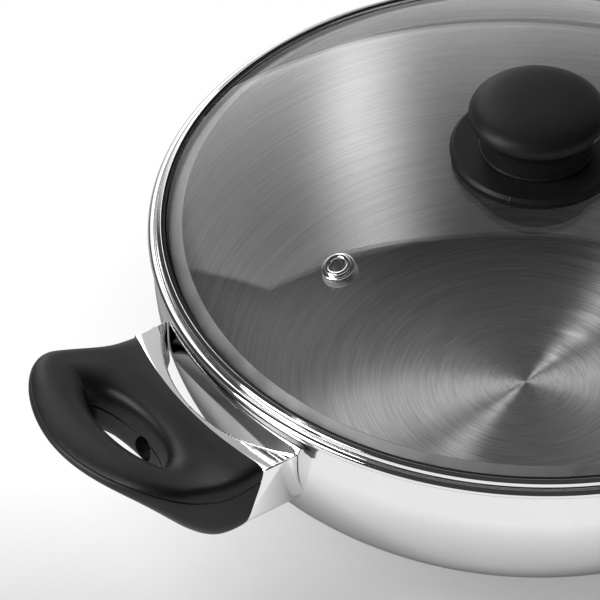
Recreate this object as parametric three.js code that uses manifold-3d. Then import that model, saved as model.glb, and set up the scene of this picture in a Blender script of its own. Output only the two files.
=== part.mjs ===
// Wok with a glass lid: a polished steel pan with two black loop handles on steel brackets,
// and a domed glass lid with a steel band, a black knob and a steam vent.
// Millimetres, +Z up. The origin is on the floor under the pan's axis, and the handles lie along X.

import * as THREE from 'three';
import { mergeVertices } from 'three/addons/utils/BufferGeometryUtils.js';
import Module from 'manifold-3d';

const wasm = await Module();
wasm.setup();

// Clearances
const GAP = 0.3; // left between two pieces that are seated on each other
const SPIGOT_PLAY = 0.4; // between the lid's spigot and the neck of the pan

// Pan
const RIM_RADIUS = 145; // out to the edge of the rolled rim
const RIM_WIDTH = 4.2;
const RIM_HEIGHT = 3.2;
const RIM_OVERHANG = 1.8; // the rim's edge past the wall
const PAN_DEPTH = 81.5; // from the inside of the base to the middle of the rim
const PAN_SHEET = 1.2;
const CORNER_RADIUS = 68; // outside, between the flat base and the wall
const NECK_LENGTH = 4.5; // over which the wall draws in under the rim
const NECK_STRAIGHT = 3.5; // upright stretch between the neck and the middle of the rim

// Base
const BASE_RADIUS = 74;
const CORE_THICKNESS = 2.9;
const CAP_SHEET = 0.8;
const CAP_CHAMFER = 1.5;

// Lid
const LID_INSET = 3.3; // the band's edge behind the rim's edge
const DOME_RADIUS = 300; // outside of the glass
const GLASS_THICKNESS = 4;
const SEAL_THICKNESS = 0.4;
const SEAL_LIP = 1.2; // of the seal that shows inside the band
const BAND_SHEET = 0.6;
const BAND_TOP_FLANGE = 0.3; // over the edge of the glass
const BAND_LOWER_FLANGE = 7; // under the edge of the glass
const BAND_ROUND = 0.7; // at the outer top edge
const BAND_LEDGE = 1.6; // width of the ledge that rests on the rim
const BAND_SINK = 4.5; // how far the channel for the glass reaches below the ledge

// Steam vent
const VENT_RADIUS = 89; // distance from the lid's axis
const VENT_BORE = 3; // radius of the steam hole
const EYELET_WALL = 0.9;
const EYELET_FLANGE = 5; // radius
const EYELET_ROLL = 1; // thickness of the rolled flanges
const VENT_RING_RADIUS = 6.2;
const VENT_RING_THICKNESS = 0.9;
const VENT_WASHER_RADIUS = 6.8;
const VENT_WASHER_THICKNESS = 0.8;

// Knob
const KNOB_CAP_RADIUS = 25.7;
const KNOB_NECK_RADIUS = 21;
const KNOB_HEIGHT = 21.8; // of the grip above its base
const KNOB_CAP_HEIGHT = 7.6; // from the widest circle to the top
const KNOB_FULLNESS = 0.75; // pull of the cap's curve towards a square edge
const KNOB_UNDERCUT = 3; // from the widest circle down to the neck's flare
const KNOB_BASE_RADIUS = 32.2;
const KNOB_BASE_CHAMFER = 1.6;
const KNOB_BASE_SKIRT = 2; // width of the foot that runs on the glass
const KNOB_BASE_PLATE = 1.2; // thickness inside the foot
const INSERT_RADIUS = 5;
const INSERT_LENGTH = 13;
const INSERT_ROOF = 1.5;
const KNOB_BOLT_RADIUS = 2.5;
const KNOB_BOLT_REACH = 9; // into the insert
const KNOB_BOLT_HEAD = 5; // radius
const KNOB_BOLT_HEAD_HEIGHT = 3;
const KNOB_WASHER_RADIUS = 10;
const KNOB_WASHER_THICKNESS = 1.2;
const KNOB_SEAL_RADIUS = 9;
const KNOB_SEAL_THICKNESS = 1.5;
const KNOB_PAD_RADIUS = 11;
const KNOB_PAD_THICKNESS = 0.9;
const GLASS_HOLE_RADIUS = 4;

// Handle brackets
const BRACKET_WIDTH = 86.5;
const BRACKET_HEIGHT = 21.5;
const BRACKET_DROP = 10.4; // its top below the middle of the rim
const BRACKET_REACH = 13.6; // from the wall to the joint with the handle, at the top
const BRACKET_SLANT = 9; // how much further the joint lies out at the bottom
const BRACKET_WEB = 2.4; // thickness at the middle of the top edge
const BRACKET_FOOT = 1.8; // thickness of the feet on the wall
const BRACKET_ROUND = 0.6; // chamfer along the edges of the end faces

// Handles
const FINGER_WEB = 15; // from the joint to the finger opening, at the middle of the handle
const FINGER_GAP = 19; // across the opening
const FINGER_WIDTH = 54; // along the opening, at the top
const FINGER_FOOT = 36; // along the opening, at the bottom
const FINGER_BACK = 12.5; // share of the gap that lies on the pan's side of the opening's corners
const BAR_WIDTH = 21.2;
const BAR_LIP = 7; // height of the bar's outer edge
const BAR_RISE = 3.5; // the bar's crest above the middle of the rim
const HANDLE_WIDTH = 94;
const SHOULDER_SETBACK = 28; // of the widest place behind the bar's edge
const BOW_FULLNESS = 0.5; // share of the half width that pulls the bar's edge straight
const DECK_RISE = 1.3; // above the bracket's top
const BELLY_DROP = 2; // below the bracket's bottom
const BELLY_REACH = 5; // the belly's lowest place beyond the joint
const BAR_ROUNDNESS = 2.3; // exponent of the bar's oval section
const DECK_ROUNDNESS = 5; // exponent of the squarer section beside the bracket
const OVAL_END = 0.15; // share of the way from the bar round to the bracket that keeps the oval section
const SQUARE_START = 0.6; // share from which the section is the squarer one

// Handle screws
const SCREW_RADIUS = 2.5;
const SCREW_HEAD_RADIUS = 4.2;
const SCREW_HEAD_HEIGHT = 2.6;
const SCREW_BACKSET = 0.6; // of the screw's tip behind the bracket's inner face
const WASHER_RADIUS = 4.6;
const WASHER_THICKNESS = 0.8;
const RECESS_DEPTH = 4.6;

// Facets
const ROUND_STEPS = 56; // round the pan and the lid
const JOINT_STEPS = 96; // round the joint of bracket and handle
const ARC_STEPS = 3; // along each curve of a turned outline
const DOME_STEPS = 4; // along the glass
const CAP_STEPS = 6; // along the knob's curves
const KNOB_STEPS = 30; // round the knob
const SMALL_STEPS = 16; // round screws, washers and the vent
const HANDLE_STEPS = 48; // round the finger opening
const SECTION_STEPS = 12; // round the handle's section
const OVERSHOOT = 10; // of a cutting tool past what it cuts

// Heights and radii that follow from the driving sizes
const coreBottom = CAP_SHEET + GAP;
const coreTop = coreBottom + CORE_THICKNESS;
const panBottom = coreTop + GAP;
const panFloor = panBottom + PAN_SHEET;
const rimZ = panFloor + PAN_DEPTH;
const rimTop = rimZ + RIM_HEIGHT / 2;
const wallRadius = RIM_RADIUS - RIM_OVERHANG;
const neckRadius = RIM_RADIUS - RIM_WIDTH;
const neckTop = rimZ - NECK_STRAIGHT;
const neckBottom = neckTop - NECK_LENGTH;
const cornerRadius = Math.min(CORNER_RADIUS, neckBottom - panBottom);
const flatRadius = wallRadius - cornerRadius;
const cornerZ = panBottom + cornerRadius;

// Layers over the edge of the glass, as offsets from its outer face and its edge
const sealOuter = GAP + SEAL_THICKNESS;
const bandInner = sealOuter + GAP;
const bandOuter = bandInner + BAND_SHEET;
const bandRadius = RIM_RADIUS - LID_INSET;
const ledgeZ = rimTop + GAP;
const bandAngle = Math.asin(bandRadius / (DOME_RADIUS + bandOuter));
const glassAngle = bandAngle - bandOuter / DOME_RADIUS;
const domeZ = ledgeZ + BAND_SHEET - BAND_SINK
  - (DOME_RADIUS - GLASS_THICKNESS - bandInner) * Math.cos(glassAngle + bandInner / DOME_RADIUS);
const glassTop = domeZ + DOME_RADIUS;
const glassUnder = glassTop - GLASS_THICKNESS;
const spigotRadius = neckRadius - SPIGOT_PLAY;

// Knob stack, from the glass upwards
const skirtBottom = domeZ + Math.sqrt(DOME_RADIUS ** 2 - KNOB_BASE_RADIUS ** 2) + GAP;
const knobPlate = glassTop + GAP + KNOB_PAD_THICKNESS + GAP;
const knobBaseTop = knobPlate + KNOB_BASE_PLATE;
const knobBottom = knobBaseTop + GAP;
const knobTop = knobBottom + KNOB_HEIGHT;
const insertBottom = knobBottom + GAP;
const boltTop = insertBottom + KNOB_BOLT_REACH;
const boltClear = KNOB_BOLT_RADIUS + GAP;
const knobWasherTop = glassUnder - GAP - KNOB_SEAL_THICKNESS - GAP;
const boltHeadTop = knobWasherTop - KNOB_WASHER_THICKNESS - GAP;

// Handle and bracket, in the frame of a handle that points along +X
const bracketTop = rimZ - BRACKET_DROP;
const bracketBottom = bracketTop - BRACKET_HEIGHT;
const jointRadius = wallRadius + BRACKET_REACH;
const crescentX = jointRadius - BRACKET_WEB;
const fingerNearX = jointRadius + FINGER_WEB;
const fingerFarX = fingerNearX + FINGER_GAP;
const barEdgeX = fingerFarX + BAR_WIDTH;
const barCrestX = fingerFarX + BAR_WIDTH / 2;
const shoulderX = barEdgeX - SHOULDER_SETBACK;
const deckZ = bracketTop + DECK_RISE;
const barTop = rimZ + BAR_RISE;
const lipZ = barTop - BAR_LIP;
const bellyZ = bracketBottom - BELLY_DROP;
const bellyX = jointRadius + BELLY_REACH;
const screwZ = (bracketTop + bracketBottom) / 2;
const recessX = fingerNearX - RECESS_DEPTH;
const screwClear = SCREW_RADIUS + GAP;

// A steel or plastic finish for a piece.
function finish(color, metalness, roughness) {
  return new THREE.MeshStandardMaterial({ color, metalness, roughness });
}

const polishedSteel = () => finish(0xd4d6d8, 1, 0.08);
const brushedSteel = () => finish(0xb9bbbd, 1, 0.3);
const blackPlastic = () => finish(0x17181a, 0, 0.55);
const blackRubber = () => finish(0x1b1b1b, 0, 0.8);
const castAluminium = () => finish(0xa8abae, 1, 0.4);
const brass = () => finish(0xb08d4a, 1, 0.35);
const clearGlass = () => Object.assign(finish(0xdfe6e6, 0, 0.03), { transparent: true, opacity: 0.3 });

// Joins a geometry's shared corners, drops the triangles that close up on an axis,
// and turns the faces outwards.
function closedBody(geometry) {
  geometry.deleteAttribute('normal');
  geometry.deleteAttribute('uv');
  const merged = mergeVertices(geometry);
  const corners = merged.getAttribute('position');
  const [a, b, c] = [new THREE.Vector3(), new THREE.Vector3(), new THREE.Vector3()];
  const kept = [];
  let volume = 0;
  for (let i = 0; i < merged.index.count; i += 3) {
    const [p, q, r] = [0, 1, 2].map((k) => merged.index.getX(i + k));
    if (p === q || q === r || r === p) continue;
    kept.push(p, q, r);
    a.fromBufferAttribute(corners, p);
    b.fromBufferAttribute(corners, q);
    c.fromBufferAttribute(corners, r);
    volume += a.dot(b.cross(c));
  }
  merged.setIndex(volume < 0 ? kept.reverse() : kept);
  return merged;
}

// A geometry as a solid for cutting and joining.
function solid(geometry) {
  const body = closedBody(geometry);
  return new wasm.Manifold(new wasm.Mesh({
    numProp: 3,
    vertProperties: new Float32Array(body.getAttribute('position').array),
    triVerts: new Uint32Array(body.index.array),
  }));
}

// A cut or joined solid as a geometry again.
function shapeOf(manifold) {
  const { vertProperties, triVerts } = manifold.getMesh();
  const geometry = new THREE.BufferGeometry();
  geometry.setAttribute('position', new THREE.BufferAttribute(new Float32Array(vertProperties), 3));
  geometry.setIndex(Array.from(triVerts));
  return geometry;
}

// A named piece with its own material.
function piece(name, geometry, material) {
  const shape = closedBody(geometry);
  shape.computeVertexNormals();
  const mesh = new THREE.Mesh(shape, material);
  mesh.name = name;
  return mesh;
}

// An outline in radius and height, turned round the Z axis.
function revolve(path, steps, arcSteps = ARC_STEPS) {
  return new THREE.LatheGeometry(path.getPoints(arcSteps), steps).rotateX(Math.PI / 2);
}

// A closed outline from its corners, as [radius, height].
function outline(corners) {
  const path = new THREE.Path();
  path.moveTo(...corners[0]);
  corners.slice(1).forEach((corner) => path.lineTo(...corner));
  path.closePath();
  return path;
}

// A flat ring round the Z axis, between two radii and two heights.
function ring(inner, outer, bottom, top, steps) {
  return revolve(outline([[inner, bottom], [outer, bottom], [outer, top], [inner, top]]), steps);
}

// A round bar on the Z axis.
function rod(radius, bottom, top, steps) {
  return revolve(outline([[0, bottom], [radius, bottom], [radius, top], [0, top]]), steps);
}

// A point on the edge of the lid: `inward` runs along the dome from the edge of the glass,
// and `above` is the height over its outer face.
function lidPoint(inward, above) {
  const angle = glassAngle - inward / DOME_RADIUS;
  const radius = DOME_RADIUS + above;
  return [radius * Math.sin(angle), domeZ + radius * Math.cos(angle)];
}

// Eases from 0 to 1 between two places.
function ease(value, from, to) {
  return THREE.MathUtils.smoothstep(value, from, to);
}

// Pan: one pressed sheet with a flat base, a round corner, an upright wall, a drawn-in neck
// and a rim rolled outwards.
function panBody() {
  const rimCentre = RIM_RADIUS - RIM_WIDTH / 2;
  const neckOuter = neckRadius + PAN_SHEET;
  const rollEnd = -Math.acos((neckOuter - rimCentre) / (RIM_WIDTH / 2));
  const path = new THREE.Path();
  path.moveTo(0, panFloor);
  path.lineTo(flatRadius, panFloor);
  path.absarc(flatRadius, cornerZ, cornerRadius - PAN_SHEET, -Math.PI / 2, 0, false);
  path.lineTo(wallRadius - PAN_SHEET, neckBottom);
  path.lineTo(neckRadius, neckTop);
  path.absellipse(rimCentre, rimZ, RIM_WIDTH / 2, RIM_HEIGHT / 2, Math.PI, rollEnd, true);
  path.lineTo(neckOuter, neckTop);
  path.lineTo(wallRadius, neckBottom);
  path.absarc(flatRadius, cornerZ, cornerRadius, 0, -Math.PI / 2, true);
  path.lineTo(0, panBottom);
  return piece('pan_body', revolve(path, ROUND_STEPS), polishedSteel());
}

// Base: an aluminium disc that spreads the heat, held in a steel cap.
function baseCore() {
  const coreRadius = BASE_RADIUS - CAP_SHEET - GAP;
  return piece('base_core', rod(coreRadius, coreBottom, coreTop, ROUND_STEPS), castAluminium());
}

function baseCap() {
  const inside = BASE_RADIUS - CAP_SHEET;
  const path = outline([
    [0, 0], [BASE_RADIUS - CAP_CHAMFER, 0], [BASE_RADIUS, CAP_CHAMFER], [BASE_RADIUS, coreTop],
    [inside, coreTop], [inside, CAP_SHEET], [0, CAP_SHEET],
  ]);
  return piece('base_cap', revolve(path, ROUND_STEPS), brushedSteel());
}

// Lid glass: a dome of even thickness with a hole for the knob's bolt and one for the vent.
function lidGlass() {
  const inner = DOME_RADIUS - GLASS_THICKNESS;
  const edge = Math.PI / 2 - glassAngle;
  const path = new THREE.Path();
  const hole = (radius) => Math.acos(GLASS_HOLE_RADIUS / radius);
  path.absarc(0, domeZ, DOME_RADIUS, hole(DOME_RADIUS), edge, true);
  path.lineTo(...lidPoint(0, -GLASS_THICKNESS));
  path.absarc(0, domeZ, inner, edge, hole(inner), false);
  path.closePath();
  const drill = rod(ventBarrel + GAP, -GLASS_THICKNESS - OVERSHOOT, OVERSHOOT, SMALL_STEPS)
    .applyMatrix4(ventPlace());
  const dome = solid(revolve(path, ROUND_STEPS, DOME_STEPS)).subtract(solid(drill));
  return piece('lid_glass', shapeOf(dome), clearGlass());
}

// Lid seal: a thin strip folded round the edge of the glass, whose lip shows inside the band.
function lidSeal() {
  const lip = BAND_TOP_FLANGE + SEAL_LIP;
  const path = outline([
    lidPoint(lip, GAP), lidPoint(-GAP, GAP), lidPoint(-GAP, -GLASS_THICKNESS - GAP),
    lidPoint(lip, -GLASS_THICKNESS - GAP), lidPoint(lip, -GLASS_THICKNESS - sealOuter),
    lidPoint(-sealOuter, -GLASS_THICKNESS - sealOuter), lidPoint(-sealOuter, sealOuter),
    lidPoint(lip, sealOuter),
  ]);
  return piece('lid_seal', revolve(path, ROUND_STEPS), blackRubber());
}

// Lid band: a steel channel round the seal, with a ledge that rests on the rim.
// Its foot is the spigot that keeps the lid in the middle of the pan.
function lidBand() {
  const under = -GLASS_THICKNESS - bandOuter;
  const spigotInner = spigotRadius - BAND_SHEET;
  const spigotFoot = domeZ + Math.sqrt((DOME_RADIUS + under) ** 2 - spigotInner ** 2);
  const path = outline([
    lidPoint(BAND_TOP_FLANGE, bandOuter), lidPoint(BAND_ROUND - bandOuter, bandOuter),
    lidPoint(-bandOuter, bandOuter - BAND_ROUND), [spigotRadius + BAND_LEDGE, ledgeZ],
    [spigotRadius, ledgeZ], [spigotRadius, spigotFoot + BAND_SHEET], [spigotInner, spigotFoot],
    lidPoint(BAND_LOWER_FLANGE, under), lidPoint(BAND_LOWER_FLANGE, under + BAND_SHEET),
    lidPoint(-bandInner, under + BAND_SHEET), lidPoint(-bandInner, bandInner),
    lidPoint(BAND_TOP_FLANGE, bandInner),
  ]);
  return piece('lid_band', revolve(path, ROUND_STEPS), polishedSteel());
}

// Steam vent: an eyelet rolled over a ring on top of the glass and over a washer under it.
const ventBarrel = VENT_BORE + EYELET_WALL;

// Turns and moves a piece modelled on the Z axis, with the outer face of the glass at height 0,
// to the vent's place on the dome, on the side of the left handle.
function ventPlace() {
  const tilt = -Math.asin(VENT_RADIUS / DOME_RADIUS);
  const place = new THREE.Matrix4().makeRotationY(tilt);
  place.setPosition(DOME_RADIUS * Math.sin(tilt), 0, domeZ + DOME_RADIUS * Math.cos(tilt));
  return place;
}

function steamVent() {
  const ringTop = GAP + VENT_RING_THICKNESS;
  const washerTop = -GLASS_THICKNESS - GAP;
  const washerBottom = washerTop - VENT_WASHER_THICKNESS;
  const top = ringTop + GAP;
  const bottom = washerBottom - GAP;
  const hole = ventBarrel + GAP;
  const eyelet = outline([
    [VENT_BORE, bottom - EYELET_ROLL], [EYELET_FLANGE, bottom - EYELET_ROLL], [EYELET_FLANGE, bottom],
    [ventBarrel, bottom], [ventBarrel, top], [EYELET_FLANGE, top],
    [EYELET_FLANGE, top + EYELET_ROLL], [VENT_BORE, top + EYELET_ROLL],
  ]);
  const washer = ring(hole, VENT_WASHER_RADIUS, washerBottom, washerTop, SMALL_STEPS);
  const pieces = [
    piece('vent_eyelet', revolve(eyelet, SMALL_STEPS), polishedSteel()),
    piece('vent_ring', ring(hole, VENT_RING_RADIUS, GAP, ringTop, SMALL_STEPS), polishedSteel()),
    piece('vent_washer', washer, brushedSteel()),
  ];
  const group = new THREE.Group().add(...pieces);
  group.applyMatrix4(ventPlace());
  return group;
}

// Knob: a mushroom grip on a wide base, held by a bolt from under the glass.
function knobGrip() {
  const widest = knobTop - KNOB_CAP_HEIGHT;
  const pocket = insertBottom + INSERT_LENGTH + GAP;
  const path = new THREE.Path();
  path.moveTo(INSERT_RADIUS + GAP, knobBottom);
  path.lineTo(KNOB_NECK_RADIUS, knobBottom);
  path.lineTo(KNOB_NECK_RADIUS, (knobBottom + widest) / 2);
  path.quadraticCurveTo(KNOB_NECK_RADIUS, widest - KNOB_UNDERCUT, KNOB_CAP_RADIUS, widest);
  path.bezierCurveTo(
    KNOB_CAP_RADIUS, widest + KNOB_CAP_HEIGHT * KNOB_FULLNESS,
    KNOB_CAP_RADIUS * KNOB_FULLNESS, knobTop, 0, knobTop,
  );
  path.lineTo(0, pocket);
  path.lineTo(INSERT_RADIUS + GAP, pocket);
  path.closePath();
  return piece('knob', revolve(path, KNOB_STEPS, CAP_STEPS), blackPlastic());
}

function knobBase() {
  const foot = KNOB_BASE_RADIUS - KNOB_BASE_SKIRT;
  const path = outline([
    [boltClear, knobPlate], [foot, knobPlate], [foot, skirtBottom + GAP], [KNOB_BASE_RADIUS, skirtBottom],
    [KNOB_BASE_RADIUS, knobBaseTop - KNOB_BASE_CHAMFER],
    [KNOB_BASE_RADIUS - KNOB_BASE_CHAMFER, knobBaseTop], [boltClear, knobBaseTop],
  ]);
  return piece('knob_base', revolve(path, KNOB_STEPS), blackPlastic());
}

function knobInsert() {
  const top = insertBottom + INSERT_LENGTH;
  const path = outline([
    [boltClear, insertBottom], [INSERT_RADIUS, insertBottom], [INSERT_RADIUS, top], [0, top],
    [0, top - INSERT_ROOF], [boltClear, top - INSERT_ROOF],
  ]);
  return piece('knob_insert', revolve(path, SMALL_STEPS), brass());
}

function knobBolt() {
  const headBottom = boltHeadTop - KNOB_BOLT_HEAD_HEIGHT;
  const path = new THREE.Path();
  path.moveTo(0, headBottom);
  path.quadraticCurveTo(KNOB_BOLT_HEAD, headBottom, KNOB_BOLT_HEAD, boltHeadTop);
  path.lineTo(KNOB_BOLT_RADIUS, boltHeadTop);
  path.lineTo(KNOB_BOLT_RADIUS, boltTop);
  path.lineTo(0, boltTop);
  return piece('knob_bolt', revolve(path, SMALL_STEPS), polishedSteel());
}

function knobWasher() {
  const bottom = knobWasherTop - KNOB_WASHER_THICKNESS;
  const shape = ring(boltClear, KNOB_WASHER_RADIUS, bottom, knobWasherTop, SMALL_STEPS);
  return piece('knob_washer', shape, brushedSteel());
}

function knobSeal() {
  const bottom = knobWasherTop + GAP;
  const shape = ring(boltClear, KNOB_SEAL_RADIUS, bottom, glassUnder - GAP, SMALL_STEPS);
  return piece('knob_seal', shape, blackRubber());
}

function knobPad() {
  const shape = ring(boltClear, KNOB_PAD_RADIUS, glassTop + GAP, knobPlate - GAP, SMALL_STEPS);
  return piece('knob_pad', shape, blackRubber());
}

// The cone of the joint between bracket and handle, filled in to the axis and grown by a margin.
function jointCone(bottom, top, margin) {
  const radiusAt = (z) => jointRadius + ((bracketTop - z) * BRACKET_SLANT) / BRACKET_HEIGHT + margin;
  const path = outline([[0, bottom], [radiusAt(bottom), bottom], [radiusAt(top), top], [0, top]]);
  return solid(revolve(path, JOINT_STEPS));
}

// The room that the pan takes up, grown by a margin.
function panRoom(margin) {
  const path = new THREE.Path();
  path.moveTo(0, panBottom - margin);
  path.lineTo(flatRadius, panBottom - margin);
  path.absarc(flatRadius, cornerZ, cornerRadius + margin, -Math.PI / 2, 0, false);
  path.lineTo(wallRadius + margin, rimTop);
  path.lineTo(0, rimTop);
  return solid(revolve(path, ROUND_STEPS));
}

// A hole along X, in the frame of a handle that points along +X.
function screwHole(radius, from, to) {
  return solid(rod(radius, from, to, SMALL_STEPS).rotateY(Math.PI / 2).translate(0, 0, screwZ));
}

// Bracket: a polished bridge with two feet on the wall, a crescent gap behind it
// and a tapped hole for the handle's screw.
function bracketShape() {
  const half = BRACKET_WIDTH / 2;
  const footY = half - BRACKET_FOOT;
  const footX = Math.sqrt((wallRadius + GAP) ** 2 - footY ** 2);
  const sag = crescentX - footX;
  const crescentRadius = (footY ** 2 + sag ** 2) / (2 * sag);
  const end = half - BRACKET_ROUND;
  const low = bracketBottom + BRACKET_ROUND;
  const high = bracketTop - BRACKET_ROUND;
  const front = [
    [-end, bracketBottom], [end, bracketBottom], [half, low], [half, high],
    [end, bracketTop], [-end, bracketTop], [-half, high], [-half, low],
  ];
  const slab = new THREE.ExtrudeGeometry(
    new THREE.Shape(front.map((corner) => new THREE.Vector2(...corner))),
    { depth: barEdgeX, bevelEnabled: false },
  ).rotateX(Math.PI / 2).rotateZ(Math.PI / 2);
  const crescent = rod(crescentRadius, bracketBottom - OVERSHOOT, bracketTop + OVERSHOOT, JOINT_STEPS)
    .translate(crescentX - crescentRadius, 0, 0);
  return jointCone(bracketBottom, bracketTop, 0)
    .intersect(solid(slab))
    .subtract(panRoom(GAP))
    .subtract(solid(crescent))
    .subtract(screwHole(screwClear, crescentX - OVERSHOOT, barEdgeX));
}

// Half of a handle's plan: the outer edge runs from the middle of the bar round the shoulder to the
// bracket and across its face, and the opening's edge from the bar's side to the pan's side.
// The opening grows shorter downwards.
function handlePlan() {
  const half = HANDLE_WIDTH / 2;
  const neck = BRACKET_WIDTH / 2;
  const innerX = Math.sqrt(jointRadius ** 2 - neck ** 2) - OVERSHOOT;
  const bowX = (shoulderX + barEdgeX) / 2;
  const flankX = (shoulderX + innerX) / 2;
  const edge = new THREE.CurvePath();
  const at = (x, y) => new THREE.Vector2(x, y);
  const bow = new THREE.CubicBezierCurve(
    at(barEdgeX, 0), at(barEdgeX, half * BOW_FULLNESS), at(bowX, half), at(shoulderX, half),
  );
  const flank = new THREE.CubicBezierCurve(
    at(shoulderX, half), at(flankX, half), at(flankX, neck), at(innerX, neck),
  );
  const face = new THREE.LineCurve(at(innerX, neck), at(innerX, 0));
  edge.add(bow);
  edge.add(flank);
  edge.add(face);
  const cornerX = fingerNearX + FINGER_BACK;
  const opening = (t, up) => {
    const long = THREE.MathUtils.lerp(FINGER_FOOT, FINGER_WIDTH, up) / 2;
    const y = long * Math.sin(Math.PI * t);
    const across = Math.cos(Math.PI * t);
    return t < 0.5
      ? at(cornerX + (fingerFarX - cornerX) * (1 - (y / long) ** 2), y)
      : at(cornerX + (cornerX - fingerNearX) * across, y);
  };
  return { outer: (t) => edge.getPoint(t), opening };
}

// The handle's height at a distance from the pan's axis: a low deck that rises to the bar,
// and a belly beside the bracket whose underside rises to the bar's outer edge.
const topAt = (x) => THREE.MathUtils.lerp(deckZ, barTop, ease(x, jointRadius, barCrestX));
const bottomAt = (x) => THREE.MathUtils.lerp(bellyZ, lipZ, Math.max(0, (x - bellyX) / (barEdgeX - bellyX)));

// Handle: an oval section carried round the finger opening, cut to the cone of the bracket,
// with a recess for the screw in the wall of the opening.
function handleShape() {
  const plan = handlePlan();
  const signedPower = (value, power) => Math.sign(value) * Math.abs(value) ** power;
  const corners = [];
  for (let i = 0; i < HANDLE_STEPS; i += 1) {
    const turn = (2 * i) / HANDLE_STEPS;
    const side = turn <= 1 ? 1 : -1;
    const t = turn <= 1 ? turn : 2 - turn;
    const to = plan.outer(t);
    const power = 2 / THREE.MathUtils.lerp(BAR_ROUNDNESS, DECK_ROUNDNESS, ease(t, OVAL_END, SQUARE_START));
    for (let j = 0; j < SECTION_STEPS; j += 1) {
      const round = (2 * Math.PI * j) / SECTION_STEPS;
      const across = 0.5 + 0.5 * signedPower(Math.cos(round), power);
      const up = 0.5 + 0.5 * signedPower(Math.sin(round), power);
      const spot = plan.opening(t, up).lerp(to, across);
      corners.push(spot.x, side * spot.y, THREE.MathUtils.lerp(bottomAt(spot.x), topAt(spot.x), up));
    }
  }
  const faces = [];
  for (let i = 0; i < HANDLE_STEPS; i += 1) {
    for (let j = 0; j < SECTION_STEPS; j += 1) {
      const here = i * SECTION_STEPS;
      const next = ((i + 1) % HANDLE_STEPS) * SECTION_STEPS;
      const up = (j + 1) % SECTION_STEPS;
      faces.push(here + j, next + j, next + up, here + j, next + up, here + up);
    }
  }
  const loop = new THREE.BufferGeometry();
  loop.setAttribute('position', new THREE.Float32BufferAttribute(corners, 3));
  loop.setIndex(faces);
  return solid(loop)
    .subtract(jointCone(bellyZ - OVERSHOOT, barTop + OVERSHOOT, GAP))
    .subtract(screwHole(screwClear, wallRadius, fingerNearX))
    .subtract(screwHole(WASHER_RADIUS + GAP, recessX, fingerNearX + FINGER_GAP / 2));
}

function handleScrew() {
  const headStart = recessX + GAP + WASHER_THICKNESS + GAP;
  const headEnd = headStart + SCREW_HEAD_HEIGHT;
  const path = new THREE.Path();
  path.moveTo(0, crescentX + SCREW_BACKSET);
  path.lineTo(SCREW_RADIUS, crescentX + SCREW_BACKSET);
  path.lineTo(SCREW_RADIUS, headStart);
  path.lineTo(SCREW_HEAD_RADIUS, headStart);
  path.quadraticCurveTo(SCREW_HEAD_RADIUS, headEnd, 0, headEnd);
  return revolve(path, SMALL_STEPS).rotateY(Math.PI / 2).translate(0, 0, screwZ);
}

function handleWasher() {
  const start = recessX + GAP;
  return ring(screwClear, WASHER_RADIUS, start, start + WASHER_THICKNESS, SMALL_STEPS)
    .rotateY(Math.PI / 2)
    .translate(0, 0, screwZ);
}

// One side of the pan: bracket, handle, screw and washer, turned round the pan's axis.
function handleSide(side, turn) {
  const group = new THREE.Group();
  group.add(
    piece(`handle_bracket_${side}`, shapeOf(bracketShape()), polishedSteel()),
    piece(`handle_${side}`, shapeOf(handleShape()), blackPlastic()),
    piece(`handle_screw_${side}`, handleScrew(), polishedSteel()),
    piece(`handle_washer_${side}`, handleWasher(), brushedSteel()),
  );
  group.rotation.z = turn;
  return group;
}

const wok = new THREE.Group();
wok.add(
  panBody(), baseCore(), baseCap(),
  handleSide('right', 0), handleSide('left', Math.PI),
  lidGlass(), lidSeal(), lidBand(), steamVent(),
  knobGrip(), knobBase(), knobInsert(), knobBolt(), knobWasher(), knobSeal(), knobPad(),
);

export default wok;
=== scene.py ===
# %% [markdown]
# # A wok with a glass lid
# The object is a polished steel wok with two black loop handles and a domed glass lid. Its solids
# come from the CAD frame, which is exact but faceted. This lesson dresses that frame: each visible
# piece is worked out again as a smooth surface with numpy, gets a finish made of shader nodes, and
# rides on the body that carries it, so the lid can be lifted off.

# %% Load the frame
import math

import bpy
import numpy as np
from mathutils import Matrix, Vector


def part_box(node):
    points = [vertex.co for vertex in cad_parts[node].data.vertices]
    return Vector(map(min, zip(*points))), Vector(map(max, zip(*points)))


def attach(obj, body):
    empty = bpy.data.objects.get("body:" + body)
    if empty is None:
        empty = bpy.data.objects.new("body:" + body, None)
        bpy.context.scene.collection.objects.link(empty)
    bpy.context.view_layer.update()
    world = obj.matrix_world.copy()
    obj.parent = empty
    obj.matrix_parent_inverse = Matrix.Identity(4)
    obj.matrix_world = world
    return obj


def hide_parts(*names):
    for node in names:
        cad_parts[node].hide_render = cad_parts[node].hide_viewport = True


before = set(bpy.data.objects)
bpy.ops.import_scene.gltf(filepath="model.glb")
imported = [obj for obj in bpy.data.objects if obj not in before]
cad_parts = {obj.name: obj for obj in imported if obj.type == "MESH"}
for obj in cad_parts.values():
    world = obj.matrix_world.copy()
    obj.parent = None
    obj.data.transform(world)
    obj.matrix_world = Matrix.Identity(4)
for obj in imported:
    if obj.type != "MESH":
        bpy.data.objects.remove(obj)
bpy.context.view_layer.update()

# %% [markdown]
# ## Camera
# The photograph looks down on the wok from the left handle's side, from far away. The view was
# worked out from the ellipses of rim, band and knob. A long lens keeps them nearly parallel. The
# camera is placed by where the middle of the rim stands in its view: right, up and away.

# %% Camera
MM = 0.001
VIEW_PITCH = math.radians(42.5)
VIEW_TURN = math.radians(-34.35)
VIEW_LENS = 270
RIM_MIDDLE_HEIGHT = 87 * MM
RIM_MIDDLE_IN_VIEW = Vector((87.6, 28.0, -1694)) * MM

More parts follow.
